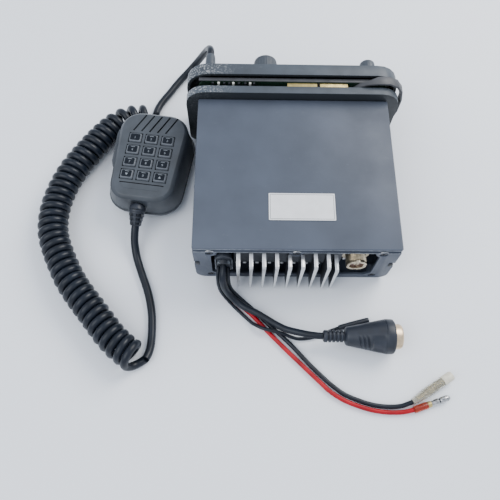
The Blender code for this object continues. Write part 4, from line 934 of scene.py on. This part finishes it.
def make_label():
    """Blank white label with a thin dark border."""
    low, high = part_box("rating_label")
    cx, cy = (low[0] + high[0]) / 2, (low[1] + high[1]) / 2
    place = Matrix.Translation((cx, cy, 0))
    w, l = (high[0] - low[0]) / 2, (high[1] - low[1]) / 2
    outline = rounded_corners([(-w, -l), (w, -l), (w, l), (-w, l)], 0.0006, 3)
    film = flat_plate("label_film", outline, low[2], high[2], place)
    dressed(film, "label_white", replaces=("rating_label",))
    inset, line = 0.0011, 0.0003
    for i, (x, y, a, b) in enumerate(((0, l - inset, w - inset, line / 2),
                                      (0, -l + inset, w - inset, line / 2),
                                      (w - inset, 0, line / 2, l - inset),
                                      (-w + inset, 0, line / 2, l - inset))):
        block(f"label_rule_{i + 1}", (cx + x - a, cy + y - b, high[2] - 0.0001),
              (cx + x + a, cy + y + b, high[2] + PAPER), 0.00004, "print_dark", slot="label_white")


def make_screws():
    for i in range(5):
        node = f"rear_screw_{i + 1}"
        low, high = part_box(node)
        x, z, y = (low[0] + high[0]) / 2, (low[2] + high[2]) / 2, low[1]
        head = mm((0, 1.6), (2.9, 1.6), (2.9, 0.4), (2.6, 0.1), (2.2, 0), (0, 0))
        profile = [(r, 0.0016 - a) for r, a in head]
        screw = turned(f"screw_{i + 1}", profile, (x, y + 0.0016, z), (0, -1, 0), 32)
        dressed(screw, "screw_steel", replaces=(node,))
        # painted shade: near-black bars stand for the shade inside each screw's cross slot
        for k in range(2):
            turn = axis_frame((x, y, z), (0, -1, 0)) @ Matrix.Rotation(0.4 + i + k * math.pi / 2, 4,
                                                                       "Z")
            block(f"screw_{i + 1}_slot_{k + 1}", (-0.0015, -0.00033, -0.0006),
                  (0.0015, 0.00033, 0.00003), 0.0001, "dark_gap", turn, slot="screw_steel")
        # painted highlight: a thin silver arc over the upper side of each screw's recess stands for
        # light caught on its rim
        rim_glint_arc = []
        for k in range(15):
            a = math.radians(20 + 140 * k / 14)
            rim_glint_arc.append(Vector((x + 0.0042 * math.cos(a), y - 0.0001, z + 0.0042 * math.sin(a))))
        ring = tube_mesh(f"screw_{i + 1}_rim", rim_glint_arc, 0.00028, 6)
        dressed(ring, "silver", slot="case_paint")


def make_socket():
    """Antenna socket with a notched rim, threads and a resin core."""
    x, z = SOCKET_X, SOCKET_Z
    face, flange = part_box("antenna_socket")[0][1], SOCKET_FLANGE
    radius = 0.0079
    depth = flange - face
    profile = [(0.0, 0.0), (0.0107, 0.0), (0.0107, 0.0012), (0.0104, 0.0016), (radius, 0.0016)]
    turns = int((depth - 0.0035) / 0.0010)
    for i in range(turns):
        y = 0.0020 + i * 0.0010
        profile += [(radius, y), (radius - 0.0004, y + 0.0004), (radius, y + 0.0008)]
    profile += [(radius, depth - 0.0016), (radius, depth - 0.0004), (radius - 0.0003, depth),
                (0.0060, depth), (0.0057, depth - 0.0003), (0.0057, depth - 0.0030),
                (0.0, depth - 0.0030)]

    def notched(angle, along):
        tooth = math.cos(4 * angle) > 0.86 and along > depth - 0.0012
        return 0.90 if tooth else 1.0

    socket = turned("socket_barrel", profile, (x, flange, z), (0, -1, 0), 96, notched)
    dressed(socket, "socket_metal", replaces=("antenna_socket",))
    core = mm((0, -1), (5.6, -1), (5.6, 0), (5.3, 0.3), (2.2, 0.3), (2.1, -0.6), (0, -0.6))
    core = turned("socket_core", core, (x, face + 0.0020, z), (0, -1, 0), 48)
    dressed(core, "brown_resin", replaces=("antenna_insulator",))
    tip = turned_ring("socket_contact", mm((1.1, -1), (2, -1), (2, 0.4), (1.8, 0.6), (1.3, 0.6),
                                           (1.1, 0.4)), (x, face + 0.0020, z), (0, -1, 0), 32)
    dressed(tip, "socket_metal", slot="brown_resin")
    for i, (a, b) in enumerate(((-1, 1), (1, 1), (-1, -1), (1, -1))):
        spot = (x + a * 0.0078, flange - 0.0016, z + b * 0.0078)
        rivet = turned(f"socket_rivet_{i + 1}", mm((0, -0.4), (1.6, -0.4), (1.6, 0.2), (1, 0.8),
                                                   (0, 0.9)), spot, (0, -1, 0), 20)
        dressed(rivet, "silver", slot="socket_metal")


def make_gland():
    """Clamp bar on the gland that the leads leave through, and thin pale ribs on its sides that are
    painted highlights.
    """
    low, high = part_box("cable_gland")
    mid = (low[0] + high[0]) / 2
    soften("cable_gland", 0.0007)
    block("gland_clamp", (mid - 0.0052, low[1] - 0.0002, high[2] - 0.0105),
          (mid + 0.0052, low[1] + 0.0030, high[2] - 0.0080), 0.0007, "panel_plastic",
          slot="black_rubber")
    # painted highlight: pale ribs along the gland's sides
    for i, x in enumerate((low[0] + 0.0004, high[0] - 0.0004)):
        block(f"gland_side_highlight_{i + 1}", (x - 0.0003, low[1] + 0.0008, 0.0240),
              (x + 0.0003, low[1] + 0.0045, 0.0400), 0.00025, "painted_edge_highlight", slot="black_rubber")


def make_rear_details():
    """Fin roots, pale lines on the cover's rear edges as painted highlights, near-black patches at the
    sides as painted shade in their recesses, webs by the socket, and a scuff mark.
    """
    rear = REAR_FACE
    for i in range(8):
        x = -0.0434 + 0.0096 * (i + 0.5)
        block(f"fin_root_{i + 1}", (x - 0.0017, rear + 0.0010, 0.0262),
              (x + 0.0017, rear + 0.0030, 0.0278), 0.0006, "cast_aluminium", slot="cast_aluminium")
    # painted highlight: pale lines along the cover's rear edge and the rail below it
    block("cover_rear_highlight", (-0.0768, rear - 0.00015, 0.0568), (0.0768, rear + 0.0005, 0.0573), 0.0001,
          "painted_edge_highlight", slot="case_paint")
    block("rear_rail_highlight", (-0.0768, rear - 0.00012, 0.0516), (0.0768, rear + 0.0003, 0.0520), 0.0001,
          "painted_edge_highlight", slot="case_paint")
    # painted shade: near-black patches near both sides stand for the shade inside the side recesses
    for i, (x, z) in enumerate(((-0.0750, 0.0300), (0.0748, 0.0290))):
        block(f"side_recess_shade_{i + 1}", (x - 0.0016, rear - 0.0006, z - 0.0028),
              (x + 0.0016, rear + 0.0004, z + 0.0028), 0.0004, "print_dark", slot="screw_steel")
    for i, side in enumerate((-1, 1)):
        foot = Vector((SOCKET_X + side * 0.0045, -0.0580, WEB_FOOT))
        top = Vector((SOCKET_X + side * 0.0105, -0.0580, WEB_TOP))
        web = tube_mesh(f"socket_web_{i + 1}", [foot.lerp(top, k / 5) for k in range(6)], 0.0011, 8)
        dressed(web, "cast_aluminium")
    mark = turned("scuff_mark", mm((0, 0), (1.7, 0), (1.5, 0.04), (0, 0.04)),
                  (-0.0355, -0.0312, 0.0585), (0, 0, 1), 20, lambda a,
                  s: 1.0 + 0.25 * math.sin(3 * a) - 0.3 * math.sin(a))
    dressed(mark, "dark_gap", slot="case_paint")


# ================================================================ front panel
VOLUME_AT = (-0.0219, 0.048, 0.0104, 0.0212)
CHANNEL_AT = (0.066, 0.049, 0.0071, 0.0198)
LCD_FIGURES = (("145.500", 0.0105, -0.012, 0.0), ("88", 0.0065, 0.022, 0.0),
               ("1 2 3 4", 0.0028, -0.012, -0.0085))


def make_knob(name, node, body, at, flutes):
    """Fluted knob with a skirt and an index line on its face."""
    x, z, radius, length = at
    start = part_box(node)[0][1]
    rings = [(0.0, 0.0), (radius, 0.0), (radius, 0.0016), (radius - 0.0004, 0.0022),
             (radius - 0.0004, 0.0026), (radius - 0.0003, 0.0030)]
    for k in range(5):
        rings.append((radius - 0.0003 - 0.0002 * k / 4, 0.0034 + (length - 0.0060) * k / 4))
    rings += [(radius - 0.0009, length - 0.0012), (radius - 0.0018, length - 0.0003),
              (radius - 0.0030, length), (radius - 0.0040, length - 0.0004), (0.0, length - 0.0004)]

    def flute(angle, along):
        grip = 0.0030 < along < length - 0.0014
        return 1.0 - (0.014 * (0.5 + 0.5 * math.cos(flutes * angle)) if grip else 0.0)

    knob = turned(name, rings, (x, start, z), (0, 1, 0), flutes * 8, flute, 38)
    dressed(knob, "knob_plastic", body, slot="panel_plastic", replaces=(node,))
    end = start + length
    block(f"{name}_index", (x - 0.0004, end - 0.0006, z + radius * 0.25),
          (x + 0.0004, end - 0.0001, z + radius * 0.62), 0.00015, "print_white", body=body,
          slot="panel_plastic")


def make_front_boot():
    """Smooth tapered boot round the microphone cord."""
    low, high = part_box("mic_cord_boot")
    x, z = (low[0] + high[0]) / 2, (low[2] + high[2]) / 2
    profile = mm((0, 0), (5.2, 0), (5.2, 3.4), (5, 4.1), (4.7, 4.6), (4.6, 10), (4.4, 18), (4.1, 25),
                 (3.9, 27), (3.6, 27.8), (3.1, 28), (0, 28))
    boot = turned("cord_boot", profile, (x, low[1], z), (0, 1, 0), 40)
    dressed(boot, "knob_plastic", slot="black_rubber", replaces=("mic_cord_boot",))


def make_display():
    """Segments behind the window, and figures that stand for a channel and a frequency."""
    low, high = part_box("lcd_module")
    face = high[1] + 0.00012
    mid_z = (low[2] + high[2]) / 2
    block("lcd_glass", (low[0] + 0.003, high[1] - 0.0003, low[2] + 0.0015),
          (high[0] - 0.003, face, high[2] - 0.0015), 0.0001, "lcd_face", slot="display_plastic")
    upside = Matrix.Rotation(math.pi, 4, "Y")
    stand = Matrix(((-1, 0, 0, 0), (0, 0, 1, 0), (0, 1, 0, 0), (0, 0, 0, 1)))
    for i, (words, size, x, z) in enumerate(LCD_FIGURES):
        at = Matrix.Translation(((low[0] + high[0]) / 2 + x, face + 0.00003, mid_z - z))
        text_piece(f"lcd_figure_{i + 1}", words, size, at @ upside @ stand, "print_dark", "unit",
                   "display_plastic")


def make_panel_keys():
    for i in range(4):
        node = f"panel_key_{i + 1}"
        low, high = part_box(node)
        x, z = (low[0] + high[0]) / 2, (low[2] + high[2]) / 2
        face = high[1]
        block(f"panel_cap_{i + 1}", (x - 0.0050, face - 0.0040, z - 0.00275),
              (x + 0.0050, face, z + 0.00275), 0.0008, "key_plastic", body=f"panel_key_{i + 1}",
              replaces=(node,))
        block(f"panel_cap_mark_{i + 1}", (x - 0.0015, face - 0.0003, z - 0.00025),
              (x + 0.0015, face + 0.00004, z + 0.00025), 0.0001, "print_white",
              body=f"panel_key_{i + 1}", slot="key_plastic")


def make_board_parts():
    """Small components on the front board and bright bits in the open gap."""
    low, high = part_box("display_board")
    back, front, top = low[1], high[1], high[2]
    rng = random.Random(11)
    placed = []
    for i in range(46):
        x = rng.uniform(-0.070, 0.062)
        z = rng.uniform(0.012, 0.052)
        w, h, d = rng.choice(((0.004, 0.003, 0.001), (0.002, 0.0012, 0.0007), (0.0065, 0.0065, 0.0012),
                              (0.0016, 0.0008, 0.0006)))
        if any(abs(x - a) < 0.006 and abs(z - b) < 0.006 for a, b in placed):
            continue
        placed.append((x, z))
        block(f"board_chip_{i + 1}", (x - w / 2, back - d, z - h / 2),
              (x + w / 2, back + 0.0001, z + h / 2), 0.00015, "print_dark" if w > 0.003 else "cream",
              slot="board_green")
    for i in range(9):
        x = -0.066 + 0.0042 * i + rng.uniform(-0.0008, 0.0008)
        block(f"board_tab_{i + 1}", (x, back - 0.0018, top - 0.0042),
              (x + 0.0018, back - 0.0002, top - 0.0004), 0.0002,
              "display_plastic" if i % 3 == 1 else "print_dark", slot="board_green")
    block("board_edge", (low[0] + 0.001, back + 0.0003, top - 0.0002),
          (high[0] - 0.012, front + 0.0014, top + 0.0004), 0.0001, "seal_rubber", slot="board_green")
    low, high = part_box("board_connector")
    # painted shade: a near-black block stands for the shaded gap across the connector
    block("connector_break", (0.0193, low[1] - 0.0002, low[2] - 0.0002),
          (0.0217, high[1] - 0.0002, high[2] + 0.0002), 0.0002, "dark_gap", slot="gold_pad")


def make_grille_cloth():
    low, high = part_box("speaker")
    x, z = (low[0] + high[0]) / 2, (low[2] + high[2]) / 2
    cloth = mm((0, -0.2), (14, -0.2), (14, 0.15), (0, 0.15))
    cloth = turned("speaker_cloth", cloth, (x, high[1], z), (0, 1, 0), 48)
    dressed(cloth, "dark_gap", slot="part_steel")


# ================================================================ hand microphone
MIC_TURN = math.radians(-7.0)
MIC_AT = Matrix.Translation((-0.1194, 0.0284, 0)) @ Matrix.Rotation(MIC_TURN, 4, "Z")
MIC_TOP = 0.033
MIC_KEY_W, MIC_KEY_L = 0.0104, 0.0085
MIC_ROW, MIC_ROW_OFF = 0.0118, 0.26     # the keys' rows: pitch, and offset in rows
MIC_FIGURES = ("1", "2", "3", "4", "5", "6", "7", "8", "9", "down", "0", "up")


def mic_local(node):
    """The middle of a node in the microphone's own frame, and its top."""
    low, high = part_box(node)
    middle = MIC_AT.inverted() @ Vector(((low[0] + high[0]) / 2, (low[1] + high[1]) / 2, 0))
    return middle.x, middle.y, high[2]


def key_outline(half_u, half_v, radius):
    return rounded_corners([(-half_u, -half_v), (half_u, -half_v), (half_u, half_v), (-half_u, half_v)],
                           radius, 4)


def make_mic_key(i, node, figure):
    u, v, top = mic_local(node)
    place = MIC_AT @ Matrix.Translation((u, v, 0))
    half_u, half_v = MIC_KEY_W / 2, MIC_KEY_L / 2
    rings = []
    for inset, z in ((0.0, top - 0.0036), (0.0, top - 0.0012), (0.0002, top - 0.0008),
                     (0.0006, top - 0.0002), (0.0009, top), (0.0014, top - 0.00015)):
        rings.append([place @ Vector((p.x, p.y, z)) for p in key_outline(half_u - inset, half_v - inset,
                                                                         0.0012)])
    cap = lofted(f"mic_cap_{i}", rings, 40)
    dressed(cap, "key_plastic", f"mic_key_{i}", replaces=(node,))
    inset = flat_plate(f"mic_inset_{i}", key_outline(half_u - 0.0012, half_v - 0.0012, 0.0009),
                       top - 0.0004, top + PAPER, place)
    dressed(inset, "key_inset", f"mic_key_{i}", slot="key_plastic")
    if figure != "1":
        block(f"mic_legend_{i}", (-0.0017, 0.0019, top - 0.0002), (0.0017, 0.0023, top + 0.00006),
              0.00003, "print_grey", place, body=f"mic_key_{i}", slot="key_plastic")
    if figure in ("up", "down"):
        sign = 1 if figure == "up" else -1
        tri = [Vector((-0.0012, -0.0006 - 0.0009 * sign)), Vector((0.0012, -0.0006 - 0.0009 * sign)),
               Vector((0.0, 0.0011 * sign - 0.0006))]
        mark = flat_plate(f"mic_arrow_{i}", tri, top - 0.0001, top + 0.00006, place)
        dressed(mark, "print_grey", f"mic_key_{i}", slot="key_plastic")
    else:
        at = place @ Matrix.Translation((0, -0.0007, top + 0.00003))
        text_piece(f"mic_figure_{i}", figure, 0.0030, at, "print_grey", f"mic_key_{i}", "key_plastic")


def mic_key_place(node):
    """Sorts the keys by row from the top, then from left to right."""
    u, v = mic_local(node)[:2]
    return -round(v / MIC_ROW - MIC_ROW_OFF), u


def make_mic_keys():
    nodes = [f"mic_key_{i + 1}" for i in range(12)]
    order = sorted(nodes, key=mic_key_place)
    for figure, node in zip(MIC_FIGURES, order):
        make_mic_key(int(node.rsplit("_", 1)[1]), node, figure)


def make_mic_boot():
    """Boot with cut-outs on both sides of a spine, where the cord leaves the microphone."""
    outwards = MIC_AT.to_3x3() @ Vector((0, -1, 0))
    neck = mm((0, 0), (4.8, 0), (4.8, 3.2), (6.4, 3.6), (6.7, 4.2), (6.6, 7.4), (6, 8.2), (0, 8.4))
    neck = turned("mic_cord_collar", neck, MIC_AT @ Vector((-0.0018, -0.0400, 0.0212)), outwards, 48)
    dressed(neck, "black_rubber", "mic")
    start = MIC_AT @ Vector((-0.0018, -0.0460, 0.0215))
    aim = MIC_LEAD[0] - start
    length = aim.length
    profile = mm((0, 0), (6.7, 0), (6.7, 1.6), (6.3, 2))
    rows = 3
    pitch = (length - 0.0030) / rows
    for i in range(rows):
        y = 0.0022 + i * pitch
        r = 0.0063 - 0.0014 * i / (rows - 1)
        profile += [(r, y), (r, y + 0.28 * pitch), (r - 0.0001, y + 0.34 * pitch),
                    (r - 0.0002, y + 0.88 * pitch), (r - 0.0003, y + 0.94 * pitch)]
    profile += [(0.0045, length - 0.0006), (0.0040, length - 0.0001), (0.0, length)]

    def cut(angle, along):
        step = (along - 0.0022) / pitch
        inside = 0.31 < step % 1 < 0.92 and 0 < step < rows
        return 0.70 if inside and 0.25 < abs(math.cos(angle)) < 0.95 else 1.0

    boot = turned("mic_cord_relief", profile, start, aim, 72, cut)
    dressed(boot, "black_rubber", "mic", replaces=("mic_boot",))


def make_mic_lip():
    """Rounded lip round the joint of the microphone's two shells."""
    shell = NODES["mic_front_shell"]
    points = [shell.matrix_world @ v.co for v in shell.data.vertices]
    low = min(p.z for p in points)
    foot = [p.xy for p in points if p.z < low + 0.0004]
    edge = [foot[i] for i in convex_hull_2d(foot)]
    rings = []
    for i, p in enumerate(edge):
        along = (edge[(i + 1) % len(edge)] - edge[i - 1]).normalized()
        out = Vector((along.y, -along.x))
        ring = []
        for k in range(8):
            a = math.tau * k / 8
            q = p + out * (0.0007 * math.cos(a) + 0.0001)
            ring.append(Vector((q.x, q.y, low + 0.0007 * math.sin(a))))
        rings.append(ring)
    dressed(lofted("mic_lip", rings, 60, loop=True), "mic_plastic", "mic")


def make_mic_details():
    """A near-black sheet under the slots, painted shade inside them, and a blank name plate with its
    rule.
    """
    slant = math.radians(64)
    # painted shade: a near-black sheet a few millimetres under each slot
    for i in range(5):
        at = MIC_AT @ Vector((0.0009 + (i - 2) * 0.00685, 0.0304, MIC_TOP - 0.0030))
        turn = Matrix.Translation(at) @ Matrix.Rotation(MIC_TURN + slant, 4, "Z")
        block(f"mic_slot_shade_{i + 1}", (-0.0098, -0.0011, 0), (0.0098, 0.0011, 0.0005), 0.0002,
              "dark_gap", turn, body="mic", slot="mic_plastic")
    bar = rounded_corners(mm((-14, -33.3), (14, -33.3), (17.8, -28.5), (-17.8, -28.5)), 0.0006, 3)
    plate = flat_plate("mic_blank_plate", bar, MIC_TOP - 0.0002, MIC_TOP + 0.00014, MIC_AT, 30, 0.00008)
    dressed(plate, "mic_plastic", "mic", slot="mic_plastic")
    block("mic_plate_rule", (-0.0182, -0.0286, MIC_TOP - 0.0002), (0.0182, -0.0276, MIC_TOP + 0.00006),
          0.0001, "dark_gap", MIC_AT, body="mic", slot="mic_plastic")


# ================================================================ everything together
KEPT_SOLIDS = {
    "case_body": 0.0005, "underside_cover": 0.0004, "heat_sink": 0.0004, "rear_cowl": 0.0010,
    "front_bezel": 0.0012, "seal_ring": 0.0005, "mic_front_shell": 0.0003,
    "mic_back_shell": 0.0003, "mic_ptt_lever": 0.0004, "board_connector": 0.0003,
    "lcd_window": 0.0002}


def dress_solids():
    """Materials for every carried-over solid, and eased edges on those that show."""
    for entry in frame["record"]["subparts"]:
        obj = NODES[entry["node"]]
        obj.data.materials.clear()
        obj.data.materials.append(LOOKS[entry["material_slot"]])
    for node, width in KEPT_SOLIDS.items():
        soften(node, width)
    for node in ("volume_shaft", "channel_shaft", "volume_pot", "channel_encoder", "speaker"):
        soften(node, 0.0)


SMOOTHER = make_smoother()
make_camera()
LOOKS = make_looks()
make_mic_cord()
make_leads()
make_studio()
dress_solids()
make_label()
make_screws()
make_socket()
make_gland()
make_rear_details()
make_knob("volume_grip", "volume_knob", "volume_knob", VOLUME_AT, 28)
make_knob("channel_grip", "channel_knob", "channel_knob", CHANNEL_AT, 20)
make_front_boot()
make_display()
make_panel_keys()
make_board_parts()
make_grille_cloth()
make_mic_keys()
make_mic_boot()
make_mic_lip()
make_mic_details()
